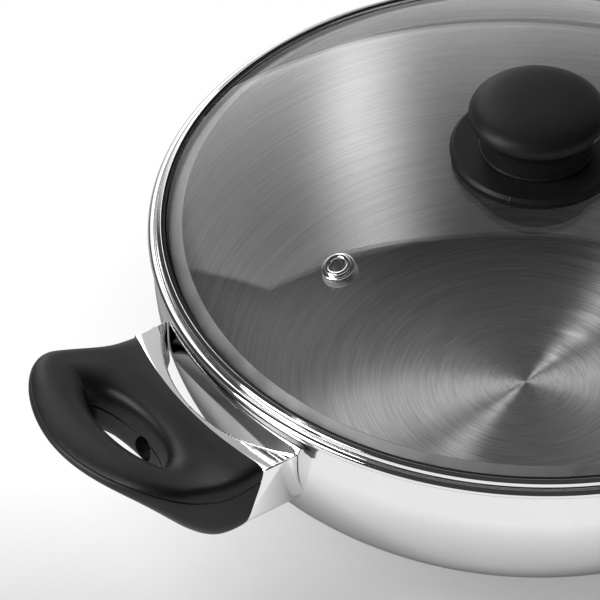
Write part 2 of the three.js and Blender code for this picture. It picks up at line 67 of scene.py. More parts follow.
turn = Matrix.Rotation(VIEW_TURN, 3, "Z") @ Matrix.Rotation(math.pi / 2 - VIEW_PITCH, 3, "X")
camera = bpy.data.objects.new("camera", bpy.data.cameras.new("camera"))
camera.data.lens = VIEW_LENS
camera.rotation_euler = turn.to_euler()
camera.location = Vector((0, 0, RIM_MIDDLE_HEIGHT)) - turn @ RIM_MIDDLE_IN_VIEW
bpy.context.scene.collection.objects.link(camera)
bpy.context.scene.camera = camera
print("camera at", [round(value, 3) for value in camera.location])

# %% [markdown]
# ## Meshes from grids
# Nearly every piece here is a surface with two parameters: a profile turned round an axis, or a
# section carried round a loop. Both give a grid of points. One helper turns any such grid into a
# closed mesh, so the formulas stay short. It works on whole arrays, and turns the faces outwards by
# the sign of the enclosed volume.

# %% Grid to mesh
SHARP_ANGLE = math.radians(38)
POLE_SIZE = 1e-6


def grid_mesh(name, grid, close_rows=False, caps=False):
    """A mesh from points (row, column, xyz) in millimetres. Face (i, j) joins the points (i, j),
    (i, j + 1), (i + 1, j + 1) and (i + 1, j), and the columns close on themselves. A row whose
    points coincide is a pole with one corner. Caps close the first and last row with a flat face."""
    rows, columns = grid.shape[:2]
    pole = np.ptp(grid, axis=1).max(axis=1) < POLE_SIZE
    size = np.where(pole, 1, columns)
    index = (np.cumsum(size) - size)[:, None] + np.where(pole[:, None], 0, np.arange(columns))
    points = grid[np.arange(columns) < size[:, None]]
    here = np.arange(rows if close_rows else rows - 1)
    after = (here + 1) % rows
    beside = np.roll(index, -1, axis=1)
    quads = np.stack([index[here], beside[here], beside[after], index[after]], axis=-1).reshape(-1, 4)
    corner = (points - points.mean(axis=0))[quads]
    volume = (corner[:, 0] * np.cross(corner[:, 1], corner[:, 2])).sum()
    volume += (corner[:, 0] * np.cross(corner[:, 2], corner[:, 3])).sum()
    flip = -1 if volume < 0 else 1
    quads = quads[:, ::flip]
    kept = quads != np.roll(quads, 1, axis=1)
    loops, sizes = quads[kept], kept.sum(axis=1)
    if caps:
        loops = np.concatenate([loops, index[0][::-flip], index[-1][::flip]])
        sizes = np.concatenate([sizes, [columns, columns]])
    mesh = bpy.data.meshes.new(name)
    mesh.vertices.add(len(points))
    mesh.vertices.foreach_set("co", (points * MM).ravel())
    mesh.loops.add(len(loops))
    mesh.loops.foreach_set("vertex_index", loops.astype(np.int32))
    mesh.polygons.add(len(sizes))
    mesh.polygons.foreach_set("loop_start", (np.cumsum(sizes) - sizes).astype(np.int32))
    mesh.polygons.foreach_set("use_smooth", np.ones(len(sizes), bool))
    mesh.update(calc_edges=True)
    mesh.validate()
    mesh.set_sharp_from_angle(angle=SHARP_ANGLE)
    return mesh


# %% Objects, cuts and fitting


def add_object(name, data):
    """An object at the origin that holds this mesh or lamp."""
    piece = bpy.data.objects.new(name, data)
    bpy.context.scene.collection.objects.link(piece)
    return piece


def bake_modifiers(piece):
    """The piece keeps the mesh that its modifiers make, and the modifiers go."""
    graph = bpy.context.evaluated_depsgraph_get()
    mesh = bpy.data.meshes.new_from_object(piece.evaluated_get(graph))
    piece.modifiers.clear()
    piece.data = mesh
    mesh.polygons.foreach_set("use_smooth", np.ones(len(mesh.polygons), bool))
    mesh.set_sharp_from_angle(angle=SHARP_ANGLE)
    return piece


def cut(piece, *tools):
    """Takes the room of these meshes out of a piece."""
    for mesh in tools:
        tool = add_object("tool", mesh)
        modifier = piece.modifiers.new("cut", "BOOLEAN")
        modifier.operation = "DIFFERENCE"
        modifier.solver = "EXACT"
        modifier.object = tool
        bake_modifiers(piece)
        bpy.data.objects.remove(tool)
    return piece


def fit(piece, body, slot, material, *nodes):
    """The piece moves with a body, stands for CAD nodes and wears a finish."""
    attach(piece, body)
    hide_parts(*nodes)
    piece.data.materials.clear()
    piece.data.materials.append(material)
    print(piece.name, len(piece.data.polygons), "faces")
    return piece


# %% [markdown]
# ## Profiles
# Turned pieces need an outline in radius and height. Real edges are never sharp, and a mirror
# finish shows each one as a thin line of light. So an outline is written as corners, each with the
# radius of its fillet, and the fillets are worked out.

# %% Profiles
FILLET_STEPS, FILLET_ROOM = 5, 0.45
SUPPORT, SUPPORT_SHARE = 0.2, 0.1
# Fillets of common edges, from crisp to round, in millimetres
CRISP, THIN, FINE, SHEET, SOFT, FOLD, ROUND = 0.1, 0.15, 0.2, 0.25, 0.3, 0.4, 0.5


def rounded(corners):
    """A closed outline from corners (radius, height, fillet). A fillet f touches both sides at
    f / tan(h) from the corner, with h half the corner's angle, and its middle lies f / sin(h) away
    on the line that halves the angle. A point beside each fillet keeps flat sides flat."""
    corners = np.array(corners, float)
    place, fillet = corners[:, :2], corners[:, 2]
    back, ahead = np.roll(place, 1, axis=0) - place, np.roll(place, -1, axis=0) - place
    long_back, long_ahead = np.linalg.norm(back, axis=1), np.linalg.norm(ahead, axis=1)
    back, ahead = back / long_back[:, None], ahead / long_ahead[:, None]
    half = np.arccos(np.clip((back * ahead).sum(axis=1), -1, 1)) / 2
    room = FILLET_ROOM * np.minimum(long_back, long_ahead)
    reach = np.minimum(fillet / np.tan(half), room)
    fillet = reach * np.tan(half)
    inward = back + ahead
    inward /= np.maximum(np.linalg.norm(inward, axis=1), POLE_SIZE)[:, None]
    middle = place + inward * (fillet / np.sin(half))[:, None]
    first, last = place + back * reach[:, None], place + ahead * reach[:, None]
    share = np.linspace(0, 1, FILLET_STEPS + 1)[:, None]
    spoke = (first - middle)[:, None] * (1 - share) + (last - middle)[:, None] * share
    spoke *= fillet[:, None, None] / np.maximum(np.linalg.norm(spoke, axis=2, keepdims=True), POLE_SIZE)
    beside = np.minimum(SUPPORT, SUPPORT_SHARE * room)[:, None]
    points = np.concatenate([
        (first + back * beside)[:, None], middle[:, None] + spoke, (last + ahead * beside)[:, None],
    ], axis=1).reshape(-1, 2)
    apart = np.linalg.norm(points - np.roll(points, 1, axis=0), axis=1)
    return points[apart > POLE_SIZE]


def arc(centre, radius, start, stop, count):
    """Points centre + radius * (cos a, sin a), with the angle a running from start to stop."""
    angle = np.linspace(start, stop, count)[:, None]
    return np.array(centre) + np.multiply(radius, np.concatenate([np.cos(angle), np.sin(angle)], axis=1))


print("fillets from", CRISP, "to", ROUND, "mm")

# %% Turning


def turned(profile, angles):
    """A profile turned round Z: row i and column j hold (r_i cos a_j, r_i sin a_j, z_i)."""
    radius, height = profile[:, 0, None], profile[:, 1, None]
    return np.stack([radius * np.cos(angles), radius * np.sin(angles), height + 0 * angles], axis=-1)


def round_angles(count):
    """Angles of a full turn in equal steps."""
    return np.arange(count) * 2 * math.pi / count


def turned_mesh(name, profile, count):
    """A closed body of revolution. A profile that starts and ends on the axis closes at its poles."""
    on_axis = max(profile[0, 0], profile[-1, 0]) < POLE_SIZE
    return grid_mesh(name, turned(profile, round_angles(count)), close_rows=not on_axis)


def turned_piece(name, profile, count, *fitting):
    """A body of revolution, fitted to its body, finish and node; the slot is not used."""
    return fit(add_object(name, turned_mesh(name, profile, count)), *fitting)


def ring_profile(inner, outer, bottom, top, fillet):
    """The outline of a flat ring with rounded edges."""
    corners = ((inner, bottom), (outer, bottom), (outer, top), (inner, top))
    return rounded([(*corner, fillet) for corner in corners])


# %% Measures and easing


def box_of(node):
    """Lowest and highest corner of a CAD node, in millimetres."""
    return [np.array(corner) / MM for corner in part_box(node)]


def smooth(value, start, stop):
    """Eases from 0 at start to 1 at stop: s * s * (3 - 2 s)."""
    share = np.clip((value - start) / (stop - start), 0, 1)
    return share * share * (3 - 2 * share)


def mix(first, second, share):
    """first * (1 - share) + second * share."""
    return first + (second - first) * share


print("pan box", [corner.round(2) for corner in box_of("pan_body")], "mm")

# %% [markdown]
# ## Shared surface effects
# Three effects are used by several finishes, so each is a node group: the fine lines that turning
# and brushing leave in steel, the matte grain of moulded plastic, and the faint clouding that
# handling leaves on polished faces. The lines are noise on coordinates that run slowly round the
# axis and quickly away from it, so they form long arcs without any image.

# %% Node helpers


def add_node(tree, kind, inputs=(), **settings):
    """A node with some settings, whose inputs are set from values or linked from sockets."""
    made = tree.nodes.new("ShaderNode" + kind)
    for key, value in settings.items():
        setattr(made, key, value)
    for key, value in dict(inputs).items():
        if isinstance(value, bpy.types.NodeSocket):
            tree.links.new(value, made.inputs[key])
        else:
            made.inputs[key].default_value = value
    return made


def new_group(name, inputs, outputs):
    """An empty node group with float inputs (name: default) and float outputs."""
    tree = bpy.data.node_groups.new(name, "ShaderNodeTree")
    for key, value in inputs.items():
        tree.interface.new_socket(key, in_out="INPUT", socket_type="NodeSocketFloat").default_value = value
    for key in outputs:
        tree.interface.new_socket(key, in_out="OUTPUT", socket_type="NodeSocketFloat")
    return tree, tree.nodes.new("NodeGroupInput").outputs, tree.nodes.new("NodeGroupOutput").inputs


def math_node(tree, operation, first, second=0.0):
    """The result socket of a Math node."""
    return add_node(tree, "Math", {0: first, 1: second}, operation=operation).outputs[0]


def times(tree, first, second):
    """The product of two values."""
    return math_node(tree, "MULTIPLY", first, second)


def greater(tree, first, second):
    """The greater of two values."""
    return math_node(tree, "MAXIMUM", first, second)


def noise(tree, vector, scale, detail, **more):
    """The value socket of a noise texture."""
    inputs = {"Vector": vector, "Scale": scale, "Detail": detail, **more}
    return add_node(tree, "TexNoise", inputs).outputs[0]


# %% Node groups
LINE_DETAIL, BAND_SHARE = 3.0, 0.12
GRAIN_DETAIL, MOTTLE_DETAIL, MOTTLE_SHARE = 2.0, 3.0, 0.03
CLOUD_DETAIL, CLOUD_ROUGHNESS, CLOUD_STREAKS = 4.0, 0.62, 0.8


def turned_lines_group():
    """Lines left by turning: noise at (k cos a, k sin a, d (r + z)), where a is the angle round Z,
    r the distance from it, k how often a line breaks and d how many lines there are per metre."""
    tree, given, put = new_group("turned_lines", {"Breaks": 2.5, "Lines": 1800}, ["Lines", "Bands"])
    place = add_node(tree, "TexCoord").outputs["Object"]
    flat = add_node(tree, "VectorMath", {0: place, 1: (1, 1, 0)}, operation="MULTIPLY").outputs[0]
    radius = add_node(tree, "VectorMath", {0: flat}, operation="LENGTH").outputs["Value"]
    around = add_node(tree, "VectorMath", {0: flat}, operation="NORMALIZE").outputs[0]
    height = add_node(tree, "SeparateXYZ", {0: place}).outputs["Z"]
    out = math_node(tree, "ADD", radius, height)
    wide = add_node(tree, "VectorMath", {0: around, "Scale": given["Breaks"]}, operation="SCALE").outputs[0]
    for key, factor in (("Lines", 1.0), ("Bands", BAND_SHARE)):
        across = times(tree, out, times(tree, given["Lines"], factor))
        step = add_node(tree, "CombineXYZ", {"Z": across}).outputs[0]
        spot = add_node(tree, "VectorMath", {0: wide, 1: step}).outputs[0]
        tree.links.new(noise(tree, spot, 1.0, LINE_DETAIL), put[key])
    return tree


def moulded_grain_group():
    """Grain of a spark-eroded mould: fine noise, and slow mottling of the gloss."""
    tree, given, put = new_group("moulded_grain", {"Grains": 2600}, ["Grain", "Mottle"])
    place = add_node(tree, "TexCoord").outputs["Object"]
    slow = times(tree, given["Grains"], MOTTLE_SHARE)
    tree.links.new(noise(tree, place, given["Grains"], GRAIN_DETAIL), put["Grain"])
    tree.links.new(noise(tree, place, slow, MOTTLE_DETAIL), put["Mottle"])
    return tree


def handling_group():
    """Faint clouds from wiping: slow noise that its own distortion pulls into streaks."""
    tree, given, put = new_group("handling", {"Clouds": 28}, ["Clouds"])
    place = add_node(tree, "TexCoord").outputs["Object"]
    streaks = {"Roughness": CLOUD_ROUGHNESS, "Distortion": CLOUD_STREAKS}
    clouds = noise(tree, place, given["Clouds"], CLOUD_DETAIL, **streaks)
    tree.links.new(clouds, put["Clouds"])
    return tree


TURNED_LINES, MOULDED_GRAIN, HANDLING = turned_lines_group(), moulded_grain_group(), handling_group()
print("node groups", [tree.name for tree in bpy.data.node_groups])

# %% [markdown]
# ## Steel finishes
# Steel appears here in two states. Outside it is polished like a mirror, and its look is the room
# that it reflects. Inside it is turned: fine rings scatter light across themselves but hardly along
# themselves, which gives the bright wedges on the base. The Principled shader's Anisotropic value
# does that, and the line group makes single rings catch the light. Satin steel is the polished
# finish with a high roughness. What is the same all over a surface is set on the shader's own socket.

# %% Material helpers


def new_material(name, **sockets):
    """A material with one Principled shader, constant sockets set, and its tree and shader."""
    material = bpy.data.materials.new(name)
    material.use_nodes = True
    tree = material.node_tree
    shader = tree.nodes["Principled BSDF"]
    for key, value in sockets.items():
        shader.inputs[key.replace("_", " ")].default_value = value
    return material, tree, shader


def feed(tree, shader, **values):
    """Links values that change over a surface to the inputs of its shader."""
    for key, value in values.items():
        tree.links.new(value, shader.inputs[key.replace("_", " ")])


def place_group(tree, group, **values):
    """A node group in a material, with its own values."""
    made = tree.nodes.new("ShaderNodeGroup")
    made.node_tree = group
    for key, value in values.items():
        made.inputs[key].default_value = value
    return made.outputs


def ranged(tree, value, low, high, start=0.25, stop=0.75):
    """A value between start and stop carried to between low and high."""
    return add_node(tree, "MapRange", {
        "Value": value, "From Min": start, "From Max": stop, "To Min": low, "To Max": high,
    }).outputs[0]


def shade(tree, value, dark, light):
    """A colour between two colours."""
    made = add_node(tree, "Mix", {"Factor": value}, data_type="RGBA")
    made.inputs["A"].default_value = (*dark, 1)
    made.inputs["B"].default_value = (*light, 1)
    return made.outputs["Result"]


def bump(tree, height, strength, distance):
    """The normal of a height over the surface."""
    return add_node(tree, "Bump", {"Height": height, "Strength": strength, "Distance": distance}).outputs[0]


# %% Steel finishes
GLOSSY, WIPED = 0.6, 1.5
RING_SHARE, RING_FROM, RING_TO, RING_SPREAD = 0.7, 0.35, 0.65, 0.15
RING_RELIEF, RING_DEPTH, ACROSS_RINGS = 0.32, 0.0001, 0.25


def polished_steel(name, dark, light, rough):
    """Polished metal, whose gloss varies a little with wiping."""
    material, tree, shader = new_material(name, Metallic=1.0)
    clouds = place_group(tree, HANDLING)["Clouds"]
    feed(tree, shader, Roughness=ranged(tree, clouds, rough * GLOSSY, rough * WIPED),
         Base_Color=shade(tree, clouds, dark, light))
    return material


def turned_steel(name, dark, light, rough, lines, anisotropic):
    """Turned or brushed metal: rings that scatter light across themselves."""
    material, tree, shader = new_material(
        name, Metallic=1.0, Anisotropic=anisotropic, Anisotropic_Rotation=ACROSS_RINGS,
    )
    rings = place_group(tree, TURNED_LINES, Lines=lines)
    value = math_node(tree, "ADD", times(tree, rings["Lines"], RING_SHARE),
                      times(tree, rings["Bands"], 1 - RING_SHARE))
    smoother, rougher = rough * (1 - RING_SPREAD), rough * (1 + RING_SPREAD)
    feed(tree, shader, Roughness=ranged(tree, value, smoother, rougher, RING_FROM, RING_TO),
         Base_Color=shade(tree, ranged(tree, value, 0, 1, RING_FROM, RING_TO), dark, light),
         Normal=bump(tree, rings["Lines"], RING_RELIEF, RING_DEPTH))
    return material


MIRROR = polished_steel("mirror_steel", (0.76, 0.76, 0.77), (0.82, 0.82, 0.825), rough=0.06)
INSIDE = turned_steel(
    "turned_steel", (0.42, 0.42, 0.42), (0.72, 0.72, 0.72), rough=0.34, lines=1800, anisotropic=1.0,
)
BASE = turned_steel(
    "base_steel", (0.6, 0.6, 0.61), (0.72, 0.72, 0.73), rough=0.32, lines=1400, anisotropic=0.8,
)
CORE = turned_steel(
    "core_aluminium", (0.62, 0.63, 0.64), (0.72, 0.73, 0.74), rough=0.42, lines=900, anisotropic=0.3,
)
# Satin steel with a darker grey; on the vent's washer that darker grey is painted shade
SATIN_AND_SHADE = polished_steel("satin_and_shade_steel", (0.32, 0.32, 0.325), (0.4, 0.4, 0.405), rough=0.62)
FITTING = polished_steel("fitting_steel", (0.56, 0.56, 0.57), (0.66, 0.66, 0.67), rough=0.3)
BRASS = polished_steel("insert_brass", (0.62, 0.47, 0.22), (0.74, 0.58, 0.3), rough=0.28)
print("steel", [material.name for material in bpy.data.materials if material.users])

# %% [markdown]
# ## Plastic, rubber and glass
# The black pieces come from grained moulds. The handles are coarser and glossier than the knob, so
# one function makes two plastics, and the rubber of the seals too. Glass mirrors a little and lets the
# rest through. Light on its way into the pan would be bent by each face and mostly be lost as noise,
# so the glass lets that light pass straight, and bends only what the camera sees through it.

# %% Plastic and rubber
MOTTLE_SPREAD, GRAIN_DEPTH = 0.08, 0.00014


def moulded_plastic(name, dark, light, rough, gloss, relief):
    """Black plastic from a grained mould."""
    material, tree, shader = new_material(name, Specular_IOR_Level=gloss)
    grain = place_group(tree, MOULDED_GRAIN)
    smoother, rougher = rough * (1 - MOTTLE_SPREAD), rough * (1 + MOTTLE_SPREAD)
    feed(tree, shader, Base_Color=shade(tree, grain["Mottle"], dark, light),
         Roughness=ranged(tree, grain["Mottle"], smoother, rougher),
         Normal=bump(tree, grain["Grain"], relief, GRAIN_DEPTH))
    return material


HANDLE_PLASTIC = moulded_plastic(
    "handle_plastic", (0.005, 0.005, 0.0052), (0.008, 0.008, 0.0082), rough=0.38, gloss=0.27, relief=0.7,
)
KNOB_PLASTIC = moulded_plastic(
    "knob_plastic", (0.007, 0.007, 0.0072), (0.011, 0.011, 0.0112), rough=0.42, gloss=0.17, relief=0.3,
)
RUBBER = moulded_plastic(
    "black_rubber", (0.008, 0.008, 0.008), (0.014, 0.014, 0.014), rough=0.62, gloss=0.2, relief=0.3,
)
print("plastics", HANDLE_PLASTIC.name, KNOB_PLASTIC.name, RUBBER.name)

# %% Glass
GLASS_TINT, PASSED_TINT, GLASS_IOR = (0.95, 0.95, 0.95, 1), (0.92, 0.92, 0.92, 1), 1.5


def clear_glass(name):
    """Clear glass. Shadow rays, and rays that left a matt or a metal face, see it as transparent. A ray
    that the glass itself threw back meets a face from inside without having passed one, and is still
    bent like any light in glass."""
    material, tree, shader = new_material(
        name, Base_Color=GLASS_TINT, Transmission_Weight=1.0, IOR=GLASS_IOR, Roughness=0.0,
    )
    path = add_node(tree, "LightPath").outputs
    outside = math_node(tree, "SUBTRACT", 1.0, add_node(tree, "NewGeometry").outputs["Backfacing"])
    entered = math_node(tree, "MINIMUM", path["Transparent Depth"], 1.0)
    unbent = math_node(tree, "SUBTRACT", 1.0, path["Is Transmission Ray"])
    mirrored = times(tree, times(tree, path["Is Glossy Ray"], unbent), greater(tree, outside, entered))
    matt = greater(tree, path["Is Shadow Ray"], path["Is Diffuse Ray"])
    clear = add_node(tree, "BsdfTransparent", {"Color": PASSED_TINT}).outputs[0]
    passed = greater(tree, matt, mirrored)
    mixed = add_node(tree, "MixShader", {0: passed, 1: shader.outputs[0], 2: clear}).outputs[0]
    tree.links.new(mixed, tree.nodes["Material Output"].inputs["Surface"])
    return material


GLASS = clear_glass("clear_glass")
print("glass", GLASS.name)

# %% [markdown]
# ## Pan
# The pan is one pressed sheet: a flat base, a wide round corner, an upright wall that draws in under
# the rim, and a rim rolled outwards. It is a body of revolution, so one profile holds all of it. The
# strips of the profile that lie inside get the turned finish, and the rest is polished.

# %% Pan sizes
GAP = 0.3
PAN_SHEET, PAN_DEPTH, CORNER_RADIUS = 1.2, 81.5, 68
RIM_WIDTH, RIM_HEIGHT, RIM_OVERHANG = 4.2, 3.2, 1.8
NECK_LENGTH, NECK_STRAIGHT = 4.5, 3.5
ROUND_STEPS, FLAT_STEPS, INSIDE_STEPS, NECK_STEPS = 256, 24, 56, 14
RIM_STEPS, OUTSIDE_STEPS, BOTTOM_STEPS = 48, 64, 4

pan_low, pan_high = box_of("pan_body")
pan_floor = pan_low[2] + PAN_SHEET
rim_z = pan_floor + PAN_DEPTH
rim_radius = pan_high[1]
wall_radius = rim_radius - RIM_OVERHANG
neck_radius = rim_radius - RIM_WIDTH
neck_top = rim_z - NECK_STRAIGHT
neck_bottom = neck_top - NECK_LENGTH
flat_radius = wall_radius - CORNER_RADIUS
corner_z = pan_low[2] + CORNER_RADIUS
print("rim", round(2 * rim_radius, 2), "mm wide and", round(rim_z, 2), "mm up")

# %% Pan


def neck(low_radius, high_radius):
    """The wall drawing in: the radius eases from the wall's to the neck's as the height rises."""
    height = np.linspace(neck_bottom, neck_top, NECK_STEPS)
    return np.stack([mix(low_radius, high_radius, smooth(height, neck_bottom, neck_top)), height], axis=1)


def pan_profile():
    """Inside from the axis to the neck, the rolled rim as an ellipse, and outside back to the axis."""
    rim_centre = rim_radius - RIM_WIDTH / 2
    neck_outer = neck_radius + PAN_SHEET
    roll_end = -math.acos((neck_outer - rim_centre) / (RIM_WIDTH / 2))
    quarter = math.pi / 2
    inside = np.concatenate([
        np.linspace((0, pan_floor), (flat_radius, pan_floor), FLAT_STEPS)[:-1],
        arc((flat_radius, corner_z), CORNER_RADIUS - PAN_SHEET, -quarter, 0, INSIDE_STEPS),
        neck(wall_radius - PAN_SHEET, neck_radius),
    ])
    outside = np.concatenate([
        arc((rim_centre, rim_z), (RIM_WIDTH / 2, RIM_HEIGHT / 2), math.pi, roll_end, RIM_STEPS),
        neck(wall_radius, neck_outer)[::-1],
        arc((flat_radius, corner_z), CORNER_RADIUS, 0, -quarter, OUTSIDE_STEPS),
        np.linspace((flat_radius, pan_low[2]), (0, pan_low[2]), BOTTOM_STEPS)[1:],
    ])
    return np.concatenate([inside, outside]), len(inside)


def second_finish(piece, material, rows):
    """The marked rows of a turned piece wear a second finish. Its faces follow each other row by row."""
    piece.data.materials.append(material)
    row = np.arange(len(piece.data.polygons)) // ROUND_STEPS
    piece.data.polygons.foreach_set("material_index", rows[row].astype(np.int32))


profile, inside_rows = pan_profile()
pan = turned_piece("pan", profile, ROUND_STEPS, "pan", "pan_steel", MIRROR, "pan_body")
second_finish(pan, INSIDE, np.arange(len(profile)) < inside_rows)

# %% [markdown]
# ## Base
# Under the pan an aluminium disc spreads the heat, and a steel cap holds it. Both are turned pieces.
# The cap's edge is rounded where it was pressed, and its underside shows turning rings.

# %% Base
CAP_SHEET, CAP_CHAMFER, CAP_BEND = 0.8, 1.5, 0.6
cap_high = box_of("base_cap")[1]
core_low, core_high = box_of("base_core")
cap_radius, core_radius = cap_high[0], core_high[0]
cap_inner = cap_radius - CAP_SHEET
cap_profile = rounded([
    (0, 0, 0), (cap_radius, 0, CAP_CHAMFER), (cap_radius, cap_high[2], SOFT),
    (cap_inner, cap_high[2], SOFT), (cap_inner, CAP_SHEET, CAP_BEND), (0, CAP_SHEET, 0),
])
core_profile = rounded([
    (0, core_low[2], 0), (core_radius, core_low[2], ROUND),
    (core_radius, core_high[2], SOFT), (0, core_high[2], 0),
])
turned_piece("base_shell", cap_profile, ROUND_STEPS, "pan", "brushed_steel", BASE, "base_cap")
turned_piece("heat_disc", core_profile, ROUND_STEPS, "pan", "core_aluminium", CORE, "base_core")

# %% [markdown]
# ## Handle brackets
# Each bracket is a polished steel bridge. It stands on the wall with two feet, leaves a crescent gap
# behind it and meets the handle in a slanted conical face. Its section changes along the bracket, so
# a four-sided section is carried across it, and a Bevel modifier breaks the edges as polishing does.

# %% Bracket sizes
BRACKET_WIDTH, BRACKET_HEIGHT, BRACKET_DROP = 86.5, 21.5, 10.4
BRACKET_REACH, BRACKET_SLANT, BRACKET_WEB, BRACKET_FOOT = 13.6, 9, 2.4, 1.8
BRACKET_EDGE, BEVEL_STEPS = 0.5, 3
BRACKET_STEPS, RISE_STEPS, RUN_STEPS, ROD_STEPS = 121, 13, 6, 48
SCREW_RADIUS, TOOL_REACH = 2.5, 10

bracket_top = rim_z - BRACKET_DROP
bracket_bottom = bracket_top - BRACKET_HEIGHT
joint_radius = wall_radius + BRACKET_REACH
crescent_x = joint_radius - BRACKET_WEB
screw_z = (bracket_top + bracket_bottom) / 2
print("bracket from", round(bracket_bottom, 2), "to", round(bracket_top, 2), "mm up")

# %% Bracket form


def joint_at(height):
    """Radius of the cone between bracket and handle: it widens steadily downwards."""
    return joint_radius + (bracket_top - height) * BRACKET_SLANT / BRACKET_HEIGHT


def wall_at(height):
    """Outside radius of the pan at a height, grown by the weld gap: an arc below, upright above."""
    fall = np.clip(corner_z - height, 0, CORNER_RADIUS)
    return flat_radius + np.sqrt((CORNER_RADIUS + GAP) ** 2 - fall ** 2)


def bracket_grid():
    """Rows run across the bracket and columns round its section. At each place the section reaches
    from the larger of the crescent's circle and the pan's wall to the cone of the joint."""
    half = BRACKET_WIDTH / 2
    foot_y = half - BRACKET_FOOT
    foot_x = math.sqrt((wall_radius + GAP) ** 2 - foot_y ** 2)
    sag = crescent_x - foot_x
    bend = (foot_y ** 2 + sag ** 2) / (2 * sag)
    across = np.linspace(-half, half, BRACKET_STEPS)[:, None]
    rise, run = np.linspace(0, 1, RISE_STEPS)[:-1], np.linspace(0, 1, RUN_STEPS)[:-1]
    share = np.concatenate([run, 0 * rise + 1, 1 - run, 0 * rise])
    height = np.concatenate([0 * run, rise, 0 * run + 1, 1 - rise])
    z = mix(bracket_bottom, bracket_top, height)[None, :]
    crescent = crescent_x - bend + np.sqrt(bend ** 2 - across ** 2)
    inner = np.maximum(crescent, np.sqrt(wall_at(z) ** 2 - across ** 2))
    outer = np.sqrt(joint_at(z) ** 2 - across ** 2)
    x = mix(inner, outer, share[None, :])
    return np.stack([x, across + 0 * x, z + 0 * x], axis=-1)


def along_x(name, profile, count):
    """A profile in (radius, distance along X) turned round the axis of the screw."""
    grid = turned(profile, round_angles(count))
    on_axis = max(profile[0, 0], profile[-1, 0]) < POLE_SIZE
    lying = np.stack([grid[..., 2], grid[..., 1], screw_z - grid[..., 0]], axis=-1)
    return grid_mesh(name, lying, close_rows=not on_axis)


def rod_mesh(name, radius, start, stop):
    """A round bar along X at the height of the screw."""
    return along_x(name, np.array([(0, start), (radius, start), (radius, stop), (0, stop)]), ROD_STEPS)


# %% Handle brackets


def fit_both(piece, slot, material, node):
    """Fits a right-hand piece and its twin, turned by half a turn round Z: (x, y, z) to (-x, -y, z)."""
    mesh = piece.data.copy()
    mesh.transform(Matrix.Rotation(math.pi, 4, "Z"))
    twin = add_object(piece.name.replace("right", "left"), mesh)
    fit(piece, "pan", slot, material, node + "_right")
    fit(twin, "pan", slot, material, node + "_left")


bracket = add_object("bracket_right", grid_mesh("bracket", bracket_grid(), caps=True))
edge = bracket.modifiers.new("edge", "BEVEL")
edge.width, edge.segments, edge.limit_method = BRACKET_EDGE * MM, BEVEL_STEPS, "ANGLE"
edge.angle_limit, edge.harden_normals = SHARP_ANGLE, True
bake_modifiers(bracket)
cut(bracket, rod_mesh("hole", SCREW_RADIUS + GAP, crescent_x - TOOL_REACH, crescent_x + 4 * TOOL_REACH))
fit_both(bracket, "polished_steel", MIRROR, "handle_bracket")

# %% [markdown]
# ## Loop handles
# The moulded handle is the hardest form on the object. An oval section runs round the finger
# opening: a round bar outside, a flatter and squarer deck beside the bracket. One could sculpt it,
# but a formula keeps it exact: the plan of opening and outer edge gives the section's width, two
# curves give its top and bottom, and a superellipse fills that box. The opening narrows downwards,
# because a moulding has to leave its core, and the underside rises in an S from the belly to the bar.
# A fine groove marks where the two halves of the mould meet.

# %% Handle sizes
FINGER_WEB, FINGER_GAP, FINGER_WIDTH, FINGER_FOOT, FINGER_BACK = 15, 19, 52, 36, 12.5
BAR_WIDTH, BAR_LIP, BAR_RISE = 21.2, 7, 3.5
HANDLE_WIDTH, SHOULDER_SETBACK, BOW_FULLNESS = 94, 28, 0.5
DECK_RISE, BELLY_DROP, BELLY_REACH = 1.3, 2, 5
BAR_ROUNDNESS, DECK_ROUNDNESS, OVAL_END, SQUARE_START = 2.3, 5, 0.15, 0.6
GROOVE_DEPTH, GROOVE_WIDTH, GROOVE_ANGLE = 0.45, 0.4, math.radians(30)
GROOVE_SPAN, GROOVE_STEPS = 0.08, 13
OPENING_DRAFT, OPENING_FLARE, FLARE_POWER, BELLY_FULLNESS = 5, 4, 6, 0.75
RECESS_DEPTH, WASHER_RADIUS = 4.6, 4.6
LOOP_STEPS, SECTION_STEPS, CURVE_STEPS, INNER_STEPS = 288, 104, 120, 60

finger_near = joint_radius + FINGER_WEB
finger_far = finger_near + FINGER_GAP
bar_edge = finger_far + BAR_WIDTH
bar_crest = finger_far + BAR_WIDTH / 2
shoulder_x = bar_edge - SHOULDER_SETBACK
deck_z = bracket_top + DECK_RISE
bar_top = rim_z + BAR_RISE
lip_z = bar_top - BAR_LIP
belly_z = bracket_bottom - BELLY_DROP
belly_x = joint_radius + BELLY_REACH
recess_x = finger_near - RECESS_DEPTH
print("finger opening from", round(finger_near, 2), "to", round(finger_far, 2), "mm")

# %% Handle outlines


def bezier(first, second, third, fourth, count=CURVE_STEPS):
    """A cubic curve: the four points weighted by (1-t)^3, 3t(1-t)^2, 3t^2(1-t) and t^3."""
    t = np.linspace(0, 1, count)[:, None]
    points = np.array([first, second, third, fourth], float)
    weights = np.concatenate([(1 - t) ** 3, 3 * t * (1 - t) ** 2, 3 * t * t * (1 - t), t ** 3], axis=1)
    return weights @ points


